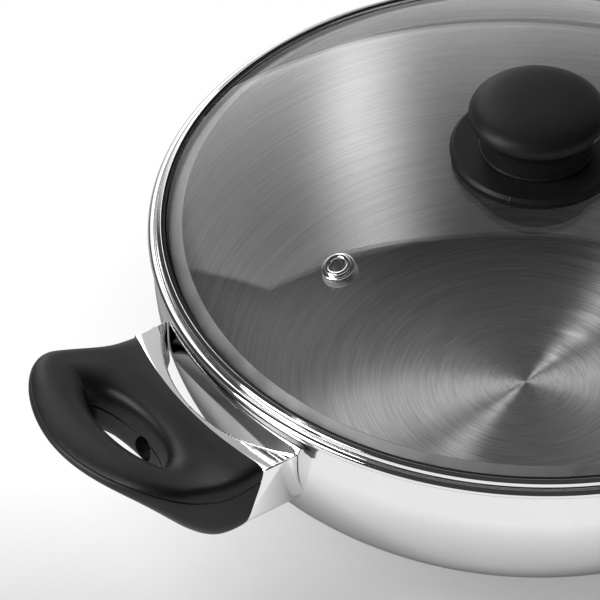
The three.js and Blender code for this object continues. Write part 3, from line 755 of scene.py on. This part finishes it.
def outer_edge(share):
    """The plan's outer edge at a share of its length: the bar's bow, the flank, a line inside the joint."""
    half, neck_y = HANDLE_WIDTH / 2, BRACKET_WIDTH / 2
    inner_x = math.sqrt(joint_radius ** 2 - neck_y ** 2) - TOOL_REACH
    bow_x, flank_x = (shoulder_x + bar_edge) / 2, (shoulder_x + inner_x) / 2
    path = np.concatenate([
        bezier((bar_edge, 0), (bar_edge, half * BOW_FULLNESS), (bow_x, half), (shoulder_x, half)),
        bezier((shoulder_x, half), (flank_x, half), (flank_x, neck_y), (inner_x, neck_y))[1:],
        np.linspace((inner_x, neck_y), (inner_x, 0), INNER_STEPS)[1:],
    ])
    run = np.concatenate([[0], np.cumsum(np.linalg.norm(np.diff(path, axis=0), axis=1))])
    return np.stack([np.interp(share * run[-1], run, path[:, k]) for k in (0, 1)], axis=-1)


def opening_edge(share, up):
    """The opening's edge: y = long * sin(pi t), a parabola on the bar's side and half an ellipse on the
    pan's. It grows smaller downwards, so that the moulding leaves its core, and flares at the top into
    a valley beside the bar."""
    near = finger_near + OPENING_DRAFT * (1 - up)
    corner_x = finger_near + FINGER_BACK
    long = mix(FINGER_FOOT, FINGER_WIDTH, up) / 2 + OPENING_FLARE * up ** FLARE_POWER
    wave = np.sin(math.pi * share)
    bar_side = corner_x + (finger_far - corner_x) * (1 - wave ** 2)
    pan_side = corner_x + (corner_x - near) * np.cos(math.pi * share)
    return np.stack([np.where(share < 0.5, bar_side + 0 * up, pan_side), long * wave], axis=-1)


def top_at(x):
    """Top of the handle: a low deck that eases up to the crest of the bar."""
    return mix(deck_z, bar_top, smooth(x, joint_radius, bar_crest))


def bottom_at(x):
    """Underside: the belly beside the bracket, rising in a drawn-out S to the bar's edge."""
    share = np.maximum(0, (x - belly_x) / (bar_edge - belly_x))
    share = share - BELLY_FULLNESS * np.sin(2 * math.pi * share) / (2 * math.pi)
    return mix(belly_z, lip_z, share)


print("handle from", round(belly_z, 2), "to", round(bar_top, 2), "mm up")

# %% Handle body


def section_angles():
    """Angles round the section, in equal steps with more of them beside the two grooves."""
    fine = np.linspace(-1, 1, GROOVE_STEPS) * GROOVE_SPAN
    return np.unique(np.concatenate([round_angles(SECTION_STEPS), GROOVE_ANGLE + fine, math.pi + fine]))


def handle_grid():
    """Row t runs round the loop and column a round the section. The section is a superellipse of
    exponent n: with s = (|cos a|^n + |sin a|^n)^(-1/n), it lies at s cos a across, from opening to
    outer edge, and at s sin a up, from bottom to top. A groove lowers s beside its two angles."""
    loop = np.arange(LOOP_STEPS)[:, None] * 2 / LOOP_STEPS
    side = np.where(loop <= 1, 1, -1)
    t = np.where(loop <= 1, loop, 2 - loop)
    far = outer_edge(t)
    power = mix(BAR_ROUNDNESS, DECK_ROUNDNESS, smooth(t, OVAL_END, SQUARE_START))
    angle = section_angles()[None, :]
    reach = (np.abs(np.cos(angle)) ** power + np.abs(np.sin(angle)) ** power) ** (-1 / power)
    width = np.linalg.norm(far - opening_edge(t, 0.5), axis=-1)
    groove = np.minimum(np.abs(angle - GROOVE_ANGLE), np.abs(angle - math.pi))
    reach = reach - GROOVE_DEPTH * np.exp(-(groove * width / 2 / GROOVE_WIDTH) ** 2) / width * 2
    across = (0.5 + 0.5 * reach * np.cos(angle))[..., None]
    up = 0.5 + 0.5 * reach * np.sin(angle)
    spot = mix(opening_edge(t, up), far, across)
    z = mix(bottom_at(spot[..., 0]), top_at(spot[..., 0]), up)
    return np.stack([spot[..., 0], side * spot[..., 1], z], axis=-1)


def joint_mesh():
    """The cone of the joint, filled in to the axis and grown by the gap."""
    low, high = belly_z - TOOL_REACH, bar_top + TOOL_REACH
    cone = np.array([(0, low), (joint_at(low) + GAP, low), (joint_at(high) + GAP, high), (0, high)])
    return turned_mesh("joint", cone, ROUND_STEPS)


handle = add_object("loop_handle_right", grid_mesh("loop_handle", handle_grid(), close_rows=True))
cut(
    handle, joint_mesh(), rod_mesh("hole", SCREW_RADIUS + GAP, wall_radius, finger_near),
    rod_mesh("recess", WASHER_RADIUS + GAP, recess_x, finger_near + FINGER_GAP / 2),
)
fit_both(handle, "black_plastic", HANDLE_PLASTIC, "handle")

# %% [markdown]
# ## Handle screws
# One screw with a spring washer holds each handle. Both sit in a recess in the wall of the finger
# opening. They are turned round X: the same turning as before, with the axis swapped.

# %% Handle screws
SCREW_HEAD_RADIUS, SCREW_HEAD_HEIGHT, SCREW_BACKSET, WASHER_THICKNESS = 4.2, 2.6, 0.6, 0.8
SCREW_CROWN, SCREW_POINT = 1.9, 0.6
SMALL_STEPS = 64

tip = crescent_x + SCREW_BACKSET
washer_start = recess_x + GAP
washer_end = washer_start + WASHER_THICKNESS
head_start = washer_end + GAP
head_end = head_start + SCREW_HEAD_HEIGHT
screw_profile = rounded([
    (0, tip, 0), (SCREW_RADIUS, tip, SCREW_POINT), (SCREW_RADIUS, head_start, CRISP),
    (SCREW_HEAD_RADIUS, head_start, SOFT), (SCREW_HEAD_RADIUS, head_end, SCREW_CROWN), (0, head_end, 0),
])
washer_profile = ring_profile(SCREW_RADIUS + GAP, WASHER_RADIUS, washer_start, washer_end, THIN)
screw = add_object("screw_right", along_x("screw", screw_profile, SMALL_STEPS))
fit_both(screw, "fitting_steel", FITTING, "handle_screw")
washer = add_object("spring_washer_right", along_x("spring_washer", washer_profile, SMALL_STEPS))
fit_both(washer, "fitting_steel", FITTING, "handle_washer")

# %% [markdown]
# ## Lid: glass, seal and band
# The lid is a dome of tempered glass of even thickness. A thin black seal is folded round its edge,
# and a steel band holds both. The band has a ledge that rests on the rim and a spigot that keeps the
# lid in the middle. All three are turned, in coordinates that follow the dome: how far in from the
# edge of the glass, and how far above its outer face. The band is polished, but its flange under the
# glass is left satin, so those rows get a second finish.

# %% Lid sizes
LID_INSET, DOME_RADIUS, GLASS_THICKNESS = 3.3, 300, 4
SEAL_THICKNESS, SEAL_LIP = 0.4, 1.2
BAND_SHEET, BAND_TOP_FLANGE, BAND_LOWER_FLANGE, BAND_ROUND = 0.6, 0.3, 7, 0.7
BAND_LEDGE, BAND_SINK, SPIGOT_PLAY = 1.6, 4.5, 0.4
GLASS_HOLE_RADIUS, DOME_STEPS = 4, 90

seal_outer = GAP + SEAL_THICKNESS
band_inner = seal_outer + GAP
band_outer = band_inner + BAND_SHEET
band_radius = rim_radius - LID_INSET
ledge_z = rim_z + RIM_HEIGHT / 2 + GAP
glass_angle = math.asin(band_radius / (DOME_RADIUS + band_outer)) - band_outer / DOME_RADIUS
dome_z = ledge_z + BAND_SHEET - BAND_SINK - (
    (DOME_RADIUS - GLASS_THICKNESS - band_inner) * math.cos(glass_angle + band_inner / DOME_RADIUS)
)
glass_top = dome_z + DOME_RADIUS
glass_under = glass_top - GLASS_THICKNESS
spigot_radius = neck_radius - SPIGOT_PLAY


def lid_point(inward, above, fillet=0.0):
    """A point near the lid's edge: `inward` along the dome from the edge of the glass, `above` its face."""
    angle = glass_angle - inward / DOME_RADIUS
    radius = DOME_RADIUS + above
    return (radius * math.sin(angle), dome_z + radius * math.cos(angle), fillet)


print("glass top at", round(glass_top, 2), "mm, band from", round(ledge_z, 2), "mm up")

# %% Lid glass
VENT_RADIUS, VENT_BORE, EYELET_WALL = 89, 3, 0.9


def vent_place():
    """Turns and moves a piece on the Z axis, with the outer face of the glass at height 0, to the vent."""
    tilt = -math.asin(VENT_RADIUS / DOME_RADIUS)
    middle = Vector((math.sin(tilt), 0, math.cos(tilt))) * DOME_RADIUS + Vector((0, 0, dome_z))
    return Matrix.Translation(middle * MM) @ Matrix.Rotation(tilt, 4, "Y")


def glass_profile():
    """The dome's two faces as arcs of one centre, joined straight at the knob's hole and at the edge."""
    inner = DOME_RADIUS - GLASS_THICKNESS
    edge_angle = math.pi / 2 - glass_angle
    top = arc((0, dome_z), DOME_RADIUS, math.acos(GLASS_HOLE_RADIUS / DOME_RADIUS), edge_angle, DOME_STEPS)
    under = arc((0, dome_z), inner, edge_angle, math.acos(GLASS_HOLE_RADIUS / inner), DOME_STEPS)
    return np.concatenate([top, under])


dome = add_object("glass_dome", turned_mesh("glass_dome", glass_profile(), ROUND_STEPS))
drill_foot, drill_radius = -GLASS_THICKNESS - TOOL_REACH, VENT_BORE + EYELET_WALL + GAP
drill = turned_mesh("drill", np.array([
    (0, drill_foot), (drill_radius, drill_foot), (drill_radius, TOOL_REACH), (0, TOOL_REACH),
]), SMALL_STEPS)
drill.transform(vent_place())
cut(dome, drill)
fit(dome, "lid", "clear_glass", GLASS, "lid_glass")

# %% Seal and band
lip = BAND_TOP_FLANGE + SEAL_LIP
below = -GLASS_THICKNESS
seal_profile = rounded([
    lid_point(lip, GAP, CRISP), lid_point(-GAP, GAP, FINE), lid_point(-GAP, below - GAP, FINE),
    lid_point(lip, below - GAP, CRISP), lid_point(lip, below - seal_outer, CRISP),
    lid_point(-seal_outer, below - seal_outer, FOLD), lid_point(-seal_outer, seal_outer, FOLD),
    lid_point(lip, seal_outer, FINE),
])
flange_under = below - band_outer
flange_face = flange_under + BAND_SHEET
spigot_inner = spigot_radius - BAND_SHEET
spigot_foot = dome_z + math.sqrt((DOME_RADIUS + flange_under) ** 2 - spigot_inner ** 2)
band_profile = rounded([
    lid_point(BAND_TOP_FLANGE, band_outer, SHEET), lid_point(-band_outer, band_outer, BAND_ROUND),
    (spigot_radius + BAND_LEDGE, ledge_z, SOFT), (spigot_radius, ledge_z, FINE),
    (spigot_radius, spigot_foot + BAND_SHEET, FINE), (spigot_inner, spigot_foot, FINE),
    lid_point(BAND_LOWER_FLANGE, flange_under, SHEET), lid_point(BAND_LOWER_FLANGE, flange_face, SHEET),
    lid_point(-band_inner, flange_face, FINE), lid_point(-band_inner, band_inner, FINE),
    lid_point(BAND_TOP_FLANGE, band_inner, SHEET),
])
turned_piece("edge_seal", seal_profile, ROUND_STEPS, "lid", "black_rubber", RUBBER, "lid_seal")
band = turned_piece("steel_band", band_profile, ROUND_STEPS, "lid", "polished_steel", MIRROR, "lid_band")
after = np.roll(band_profile, -1, axis=0)
row_middle = (band_profile + after) / 2
under_glass = np.hypot(row_middle[:, 0], row_middle[:, 1] - dome_z) < DOME_RADIUS - GLASS_THICKNESS
facing_up = (after - band_profile)[:, 0] > 0
second_finish(band, SATIN_AND_SHADE, under_glass & facing_up)

# %% [markdown]
# ## Steam vent
# A small steel eyelet lets steam out. Its ends are rolled over a ring on top of the glass and over a
# washer under it. The pieces are turned on the Z axis first, and their meshes are then tilted onto
# the dome.

# %% Steam vent
EYELET_FLANGE, EYELET_ROLL, EYELET_MOUTH = 5, 1, 0.9
VENT_RING_RADIUS, VENT_RING_THICKNESS = 6.2, 0.9
VENT_WASHER_RADIUS, VENT_WASHER_THICKNESS = 6.8, 0.8
ring_top = GAP + VENT_RING_THICKNESS
vent_washer_top = -GLASS_THICKNESS - GAP
vent_washer_bottom = vent_washer_top - VENT_WASHER_THICKNESS
barrel = VENT_BORE + EYELET_WALL


def vent_piece(name, corners, slot, material, node):
    """A turned piece of the vent, tilted onto the dome."""
    mesh = turned_mesh(name, rounded(corners), SMALL_STEPS)
    mesh.transform(vent_place())
    return fit(add_object(name, mesh), "lid", slot, material, node)


flange_top, flange_bottom = ring_top + GAP, vent_washer_bottom - GAP
eyelet_top, eyelet_bottom = flange_top + EYELET_ROLL, flange_bottom - EYELET_ROLL
vent_piece("eyelet", [
    (VENT_BORE, eyelet_bottom, ROUND), (EYELET_FLANGE, eyelet_bottom, ROUND),
    (EYELET_FLANGE, flange_bottom, FOLD), (barrel, flange_bottom, 0), (barrel, flange_top, 0),
    (EYELET_FLANGE, flange_top, FOLD), (EYELET_FLANGE, eyelet_top, ROUND),
    (VENT_BORE, eyelet_top, EYELET_MOUTH),
], "polished_steel", MIRROR, "vent_eyelet")
vent_piece("eyelet_ring", [
    (barrel + GAP, GAP, CRISP), (VENT_RING_RADIUS, GAP, FINE), (VENT_RING_RADIUS, ring_top, ROUND),
    (barrel + GAP, ring_top, FINE),
], "polished_steel", MIRROR, "vent_ring")
# The washer wears the darker satin steel, not the fitting steel of its slot: painted shade under the eyelet
# ring
vent_piece("eyelet_washer", [
    (barrel + GAP, vent_washer_bottom, THIN), (VENT_WASHER_RADIUS, vent_washer_bottom, FINE),
    (VENT_WASHER_RADIUS, vent_washer_top, FINE), (barrel + GAP, vent_washer_top, THIN),
], "fitting_steel", SATIN_AND_SHADE, "vent_washer")

# %% [markdown]
# ## Knob
# The knob is a mushroom of black plastic on a wide base. A bolt from under the glass holds it in a
# brass insert. Grip and base are turned surfaces. The mould's halves meet in a fine line that runs up
# the neck and across the base, so those two get a tiny ridge at that angle.

# %% Knob sizes
KNOB_CAP_RADIUS, KNOB_NECK_RADIUS, KNOB_HEIGHT, KNOB_CAP_HEIGHT = 25.7, 21, 21.8, 7.6
KNOB_FULLNESS, KNOB_UNDERCUT = 0.75, 3
NECK_BEAD, BEAD_TOP, BEAD_END, FOOT_MARGIN = 0.5, 0.7, 0.9, 1
FLARE_STEPS, CAP_STEPS, KNOB_STEPS = 24, 48, 160
KNOB_BASE_RADIUS, KNOB_BASE_SKIRT, KNOB_BASE_PLATE, KNOB_BASE_BEVEL = 32.2, 2, 1.2, 1.2
LIP_STEP, LIP_TOP, LIP_BOTTOM = 0.4, 1.9, 2.2
INSERT_RADIUS, INSERT_LENGTH, INSERT_ROOF = 5, 13, 1.5
KNOB_BOLT_RADIUS, KNOB_BOLT_REACH, KNOB_BOLT_HEAD, KNOB_BOLT_HEAD_HEIGHT = 2.5, 9, 5, 3
BOLT_CROWN = 2.2
KNOB_WASHER_RADIUS, KNOB_WASHER_THICKNESS = 10, 1.2
KNOB_SEAL_RADIUS, KNOB_SEAL_THICKNESS = 9, 1.5
KNOB_PAD_RADIUS, KNOB_PAD_THICKNESS = 11, 0.9
SEAM_ANGLE, SEAM_HEIGHT, SEAM_WIDTH, SEAM_FADE = math.radians(-144), 0.12, 0.25, 2
SEAM_FROM, SEAM_FULL, SEAM_SPAN, SEAM_STEPS = 6, 12, 0.03, 9

skirt_bottom = dome_z + math.sqrt(DOME_RADIUS ** 2 - KNOB_BASE_RADIUS ** 2) + GAP
knob_plate = glass_top + GAP + KNOB_PAD_THICKNESS + GAP
knob_base_top = knob_plate + KNOB_BASE_PLATE
knob_bottom = knob_base_top + GAP
knob_top = min(knob_bottom + KNOB_HEIGHT, box_of("knob")[1][2])
insert_bottom = knob_bottom + GAP
bolt_clear = KNOB_BOLT_RADIUS + GAP
knob_washer_top = glass_under - GAP - KNOB_SEAL_THICKNESS - GAP
bolt_head_top = knob_washer_top - KNOB_WASHER_THICKNESS - GAP
print("knob from", round(knob_bottom, 2), "to", round(knob_top, 2), "mm")

# %% Mould seam


def seamed(profile, seam_top):
    """A turned surface with a ridge at the seam angle and opposite: each point below seam_top moves out
    along the profile's normal by h * exp(-(d / w)^2), where d is its distance from the seam."""
    fine = np.linspace(-1, 1, SEAM_STEPS) * SEAM_SPAN
    seams = [(SEAM_ANGLE + turned_by) % (2 * math.pi) + fine for turned_by in (0, math.pi)]
    angles = np.unique(np.concatenate([round_angles(KNOB_STEPS), *seams]))
    way = np.gradient(profile, axis=0)
    normal = np.stack([way[:, 1], -way[:, 0]], axis=1)
    normal /= np.maximum(np.linalg.norm(normal, axis=1, keepdims=True), POLE_SIZE)
    off = np.abs(np.sin(angles - SEAM_ANGLE))[None, :] * profile[:, 0, None]
    ridge = SEAM_HEIGHT * np.exp(-(off / SEAM_WIDTH) ** 2)
    ridge = ridge * smooth(profile[:, 0, None], SEAM_FROM, SEAM_FULL)
    ridge = ridge * smooth(profile[:, 1, None], seam_top + SEAM_FADE, seam_top)
    radius = profile[:, 0, None] + normal[:, 0, None] * ridge
    height = profile[:, 1, None] + normal[:, 1, None] * ridge
    return np.stack([radius * np.cos(angles), radius * np.sin(angles), height], axis=-1)


# %% Knob grip and base


def grip_profile():
    """From the insert's pocket over the foot with its bead to the neck, out to the cap in a curve with one
    control point, written as a cubic, and in another curve over the cap to the axis."""
    widest = knob_top - KNOB_CAP_HEIGHT
    pocket = insert_bottom + INSERT_LENGTH + GAP
    hole = INSERT_RADIUS + GAP
    flare = (knob_bottom + widest) / 2
    neck_x, cap_x = KNOB_NECK_RADIUS, KNOB_CAP_RADIUS
    bead_x = neck_x + NECK_BEAD
    foot = rounded([
        (hole, knob_bottom, SOFT), (bead_x, knob_bottom, SOFT), (bead_x, knob_bottom + BEAD_TOP, SOFT),
        (neck_x, knob_bottom + BEAD_END, FINE), (neck_x, flare, 0), (hole, flare, 0),
    ])
    foot = foot[(foot[:, 1] < flare - FOOT_MARGIN) & (foot[:, 0] > hole - FOOT_MARGIN)]
    start, stop, control = np.array([(neck_x, flare), (cap_x, widest), (neck_x, widest - KNOB_UNDERCUT)])
    return np.concatenate([
        [(0, pocket), (hole, pocket)],
        foot,
        bezier(start, mix(start, control, 2 / 3), mix(stop, control, 2 / 3), stop, FLARE_STEPS),
        bezier(stop, (cap_x, widest + KNOB_CAP_HEIGHT * KNOB_FULLNESS),
               (cap_x * KNOB_FULLNESS, knob_top), (0, knob_top), CAP_STEPS)[1:],
    ])


base_foot, base_edge = KNOB_BASE_RADIUS - KNOB_BASE_SKIRT, KNOB_BASE_RADIUS
base_profile = rounded([
    (bolt_clear, knob_plate, FINE), (base_foot, knob_plate, FOLD), (base_foot, skirt_bottom + GAP, FINE),
    (base_edge - LIP_STEP, skirt_bottom, FINE), (base_edge - LIP_STEP, knob_base_top - LIP_BOTTOM, CRISP),
    (base_edge, knob_base_top - LIP_TOP, FINE), (base_edge, knob_base_top - KNOB_BASE_BEVEL, ROUND),
    (base_edge - KNOB_BASE_BEVEL, knob_base_top, ROUND), (bolt_clear, knob_base_top, FINE),
])
grip_grid = seamed(grip_profile(), knob_top - 2 * KNOB_CAP_HEIGHT)
grip = add_object("knob_grip", grid_mesh("knob_grip", grip_grid))
fit(grip, "lid", "black_plastic", KNOB_PLASTIC, "knob")
plate_grid = seamed(base_profile, knob_base_top)
plate = add_object("knob_plate", grid_mesh("knob_plate", plate_grid, close_rows=True))
fit(plate, "lid", "black_plastic", KNOB_PLASTIC, "knob_base")

# %% Knob fixings


def knob_piece(name, profile, slot, material, node):
    """A turned piece on the knob's axis."""
    return turned_piece(name, profile, SMALL_STEPS, "lid", slot, material, node)


insert_top = insert_bottom + INSERT_LENGTH
thread_top = insert_top - INSERT_ROOF
knob_piece("threaded_insert", rounded([
    (0, thread_top, 0), (bolt_clear, thread_top, FINE), (bolt_clear, insert_bottom, SOFT),
    (INSERT_RADIUS, insert_bottom, SOFT), (INSERT_RADIUS, insert_top, ROUND), (0, insert_top, 0),
]), "insert_brass", BRASS, "knob_insert")
head_bottom = bolt_head_top - KNOB_BOLT_HEAD_HEIGHT
bolt_tip = insert_bottom + KNOB_BOLT_REACH
knob_piece("lid_bolt", rounded([
    (0, head_bottom, 0), (KNOB_BOLT_HEAD, head_bottom, BOLT_CROWN), (KNOB_BOLT_HEAD, bolt_head_top, SOFT),
    (KNOB_BOLT_RADIUS, bolt_head_top, CRISP), (KNOB_BOLT_RADIUS, bolt_tip, ROUND), (0, bolt_tip, 0),
]), "fitting_steel", FITTING, "knob_bolt")
knob_piece("bolt_washer", ring_profile(
    bolt_clear, KNOB_WASHER_RADIUS, knob_washer_top - KNOB_WASHER_THICKNESS, knob_washer_top, SHEET,
), "fitting_steel", FITTING, "knob_washer")
knob_piece("bolt_seal", ring_profile(
    bolt_clear, KNOB_SEAL_RADIUS, knob_washer_top + GAP, glass_under - GAP, FOLD,
), "black_rubber", RUBBER, "knob_seal")
knob_piece("knob_gasket", ring_profile(
    bolt_clear, KNOB_PAD_RADIUS, glass_top + GAP, knob_plate - GAP, SHEET,
), "black_rubber", RUBBER, "knob_pad")

# %% [markdown]
# ## Floor
# Polished steel shows the room, so the room is part of the finish. The floor is one pale square. The
# camera sees it white behind the wok and shaded in front of it. Steel sees it as the photograph's
# reflections tell: dark under the wok, white in front of it, and paler towards the back. The Light Path
# node tells the two apart. Directions are the camera's at rest: right, ahead and up.

# %% Directions
RIGHT = turn @ Vector((1, 0, 0))
AHEAD = Vector((-RIGHT.y, RIGHT.x, 0))
UP = Vector((0, 0, 1))


def how_far_ahead(tree, vector):
    """The share of a vector that points ahead."""
    return add_node(tree, "VectorMath", {0: vector, 1: AHEAD}, operation="DOT_PRODUCT").outputs["Value"]


print("ahead is", [round(value, 3) for value in AHEAD])

# %% Floor
FLOOR_SIZE, FLOOR_ROUGHNESS = 16.0, 0.6
# For mirrors the floor's grey is darker than for the camera, and darker still under the pan: painted shade
# in the steel's reflections
FLOOR_GREY, MIRRORED_SHADE_GREY, UNDER_SHADE, BEHIND_LEVEL = 0.6, 0.38, 0.25, 0.4
# Where each look starts and where it is complete, in metres ahead of the pan's axis or away from it
WHITE_AHEAD, CLEAR_AWAY, FAR_AWAY = (-0.16, -0.05), (0.02, 0.18), (0.3, 0.7)
MIRRORED_AHEAD, MIRRORED_AWAY = (-0.13, -0.07), (0.1, 0.21)
UNDER_AHEAD, UNDER_AWAY, BEHIND_AHEAD = (-0.07, -0.04), (0.15, 0.18), (0.15, 0.5)


def pale_floor():
    """A pale matt floor with white emission mixed in. Its share for the camera is the white behind the
    wok, clear of its shadow, and far away. Its share for mirrors is the white in front of the wok and a
    paler back. For mirrors its grey is darker, a painted shade, and darker still under the pan."""
    material, tree, shader = new_material("pale_floor", Roughness=FLOOR_ROUGHNESS)
    place = add_node(tree, "TexCoord").outputs["Object"]
    ahead = how_far_ahead(tree, place)
    away = add_node(tree, "VectorMath", {0: place}, operation="LENGTH").outputs["Value"]
    path = add_node(tree, "LightPath").outputs
    direct = greater(tree, path["Is Camera Ray"], path["Is Transmission Ray"])
    glossy = path["Is Glossy Ray"]
    plain = times(tree, ranged(tree, ahead, 0, 1, *WHITE_AHEAD), ranged(tree, away, 0, 1, *CLEAR_AWAY))
    plain = greater(tree, plain, ranged(tree, away, 0, 1, *FAR_AWAY))
    mirrored = times(tree, ranged(tree, away, 0, 1, *MIRRORED_AWAY),
                     ranged(tree, ahead, 1, 0, *MIRRORED_AHEAD))
    mirrored = greater(tree, mirrored, ranged(tree, ahead, 0, BEHIND_LEVEL, *BEHIND_AHEAD))
    share = greater(tree, times(tree, direct, plain), times(tree, glossy, mirrored))
    # Painted shade under the pan, seen only by mirrors
    under = times(tree, ranged(tree, ahead, 0, 1, *UNDER_AHEAD), ranged(tree, away, 1, 0, *UNDER_AWAY))
    grey = times(tree, ranged(tree, glossy, FLOOR_GREY, MIRRORED_SHADE_GREY, 0, 1),
                 ranged(tree, times(tree, glossy, under), 1, UNDER_SHADE, 0, 1))
    feed(tree, shader, Base_Color=grey)
    white = add_node(tree, "Emission").outputs[0]
    mixed = add_node(tree, "MixShader", {0: share, 1: shader.outputs[0], 2: white}).outputs[0]
    tree.links.new(mixed, tree.nodes["Material Output"].inputs["Surface"])
    return material


floor_edge = FLOOR_SIZE / 2
floor_corners = [(x * floor_edge, y * floor_edge, 0) for x, y in ((-1, -1), (1, -1), (1, 1), (-1, 1))]
floor_mesh = bpy.data.meshes.new("floor")
floor_mesh.from_pydata(floor_corners, [], [(0, 1, 2, 3)])
floor = add_object("floor", floor_mesh)
floor.data.materials.append(pale_floor())
print("floor", FLOOR_SIZE, "m wide")

# %% [markdown]
# ## Lamps
# The reflections in the photograph show a tall panel behind the wok that is brighter on its left, a
# bright strip in it that widens upwards, and one narrow lamp on the left. Each is an area lamp. What
# varies across a lamp is worked out in its own nodes, from the Parametric coordinates of its face.

# %% Lamp helpers


def soft_lamp(name, place, aim, size, radiance, lean=0.0):
    """A rectangular lamp given in the camera's directions (right, ahead, up), turned in its own plane
    by a lean. Its power is radiance * pi * area, so radiance 1 looks white in a mirror."""
    data = bpy.data.lights.new(name, "AREA")
    data.shape, data.size, data.size_y = "RECTANGLE", size[0], size[1]
    data.energy = radiance * math.pi * size[0] * size[1]
    lamp = add_object(name, data)
    lamp.location = RIGHT * place[0] + AHEAD * place[1] + UP * place[2]
    target = RIGHT * aim[0] + AHEAD * aim[1] + UP * aim[2]
    facing = (target - lamp.location).to_track_quat("-Z", "Y").to_matrix()
    lamp.rotation_euler = (facing @ Matrix.Rotation(lean, 3, "Z")).to_euler()
    lamp.visible_camera = False
    print(name, "at", [round(value, 2) for value in lamp.location])
    return lamp


def lamp_spot(lamp):
    """A lamp's tree, and shares of its width, from right to left, and of its height, from foot to top."""
    lamp.data.use_nodes = True
    tree = lamp.data.node_tree
    spot = add_node(tree, "SeparateXYZ", {0: add_node(tree, "NewGeometry").outputs["Parametric"]}).outputs
    return tree, spot["X"], spot["Y"]


def set_level(tree, level):
    """Links a level to the strength of a lamp."""
    tree.links.new(level, tree.nodes["Emission"].inputs["Strength"])


# %% Lamps
PANEL_PLACE, PANEL_AIM = (0.17, 1.5, 1.38), (0.17, 0, 1.38)
PANEL_SIZE, PANEL_RADIANCE, PANEL_LEAN = (3.6, 2.4), 1.15, math.radians(-5)
PANEL_RIGHT_LEVEL, PANEL_RISE, PANEL_SLANT = 0.33, (0.46, 0.68), 0.166
PANEL_END, PANEL_END_SLANT = (0.765, 0.815), 0.35
STRIP_PLACE, STRIP_AIM = (-0.55, 1.49, 1.26), (-0.55, 0, 1.26)
STRIP_SIZE, STRIP_RADIANCE, STRIP_LEAN = (1.4, 2.36), 3.4, math.radians(-15)
STRIP_NARROW, STRIP_WIDE, STRIP_FOOT_LEVEL, STRIP_FULL_FROM = 0.065, 0.2, 0.14, 0.45
LEFT_PLACE, LEFT_AIM = (-0.87, -0.27, 0.66), (0, 0, 0.05)
LEFT_SIZE, LEFT_RADIANCE = (0.36, 0.95), 11.0


def shape_panel(lamp):
    """Brighter from right to left across a slanted edge, and dark past another one at the left foot. The
    distance from an edge is x - slant * y."""
    tree, across, up = lamp_spot(lamp)
    side, end = [math_node(tree, "SUBTRACT", across, times(tree, up, slant))
                 for slant in (PANEL_SLANT, PANEL_END_SLANT)]
    set_level(tree, times(tree, ranged(tree, side, PANEL_RIGHT_LEVEL, 1, *PANEL_RISE),
                          ranged(tree, end, 1, 0, *PANEL_END)))


def shape_strip(lamp):
    """Brightest along its middle: it falls off as exp(-(d / w)^2) with the distance d from the middle,
    w grows from narrow at the foot to wide at the top, and the foot is weaker."""
    tree, across, up = lamp_spot(lamp)
    width = ranged(tree, up, STRIP_NARROW, STRIP_WIDE, 0, 1)
    off = math_node(tree, "DIVIDE", math_node(tree, "SUBTRACT", across, 0.5), width)
    fall = math_node(tree, "POWER", math.e, times(tree, times(tree, off, off), -1))
    set_level(tree, times(tree, fall, ranged(tree, up, STRIP_FOOT_LEVEL, 1, 0, STRIP_FULL_FROM)))


shape_panel(soft_lamp("back_panel", PANEL_PLACE, PANEL_AIM, PANEL_SIZE, PANEL_RADIANCE, PANEL_LEAN))
shape_strip(soft_lamp("back_strip", STRIP_PLACE, STRIP_AIM, STRIP_SIZE, STRIP_RADIANCE, STRIP_LEAN))
soft_lamp("left_lamp", LEFT_PLACE, LEFT_AIM, LEFT_SIZE, LEFT_RADIANCE)

# %% [markdown]
# ## World
# The rest of the room is dark above, and bright near the horizon in front of the wok. Behind it a dim
# band fills the slit between the panel and the floor. The camera sees the world as white.

# %% World
OVERHEAD, BACK_LEVEL = 0.05, 0.1
HORIZON_RISE, FRONT_AHEAD = (0.15, 0.42), (-0.4, 0.2)
SLIT_AHEAD, SLIT_RISE = (0.7, 0.9), (0.05, 0.08)

world = bpy.data.worlds.new("studio")
world.use_nodes = True
bpy.context.scene.world = world
tree = world.node_tree
ray = add_node(tree, "TexCoord").outputs["Generated"]
rise = add_node(tree, "SeparateXYZ", {0: ray}).outputs["Z"]
ahead = how_far_ahead(tree, ray)
low = ranged(tree, rise, 1, 0, *HORIZON_RISE)
front = times(tree, low, ranged(tree, ahead, 1, BACK_LEVEL, *FRONT_AHEAD))
slit = times(tree, ranged(tree, ahead, 0, BEHIND_LEVEL, *SLIT_AHEAD), ranged(tree, rise, 1, 0, *SLIT_RISE))
glow = math_node(tree, "ADD", greater(tree, front, slit), OVERHEAD)
seen = add_node(tree, "LightPath").outputs["Is Camera Ray"]
tree.links.new(greater(tree, glow, seen), tree.nodes["Background"].inputs["Strength"])
tree.nodes["Background"].inputs["Color"].default_value = (1, 1, 1, 1)
bpy.context.scene.view_settings.view_transform = "Standard"
print("world", world.name)
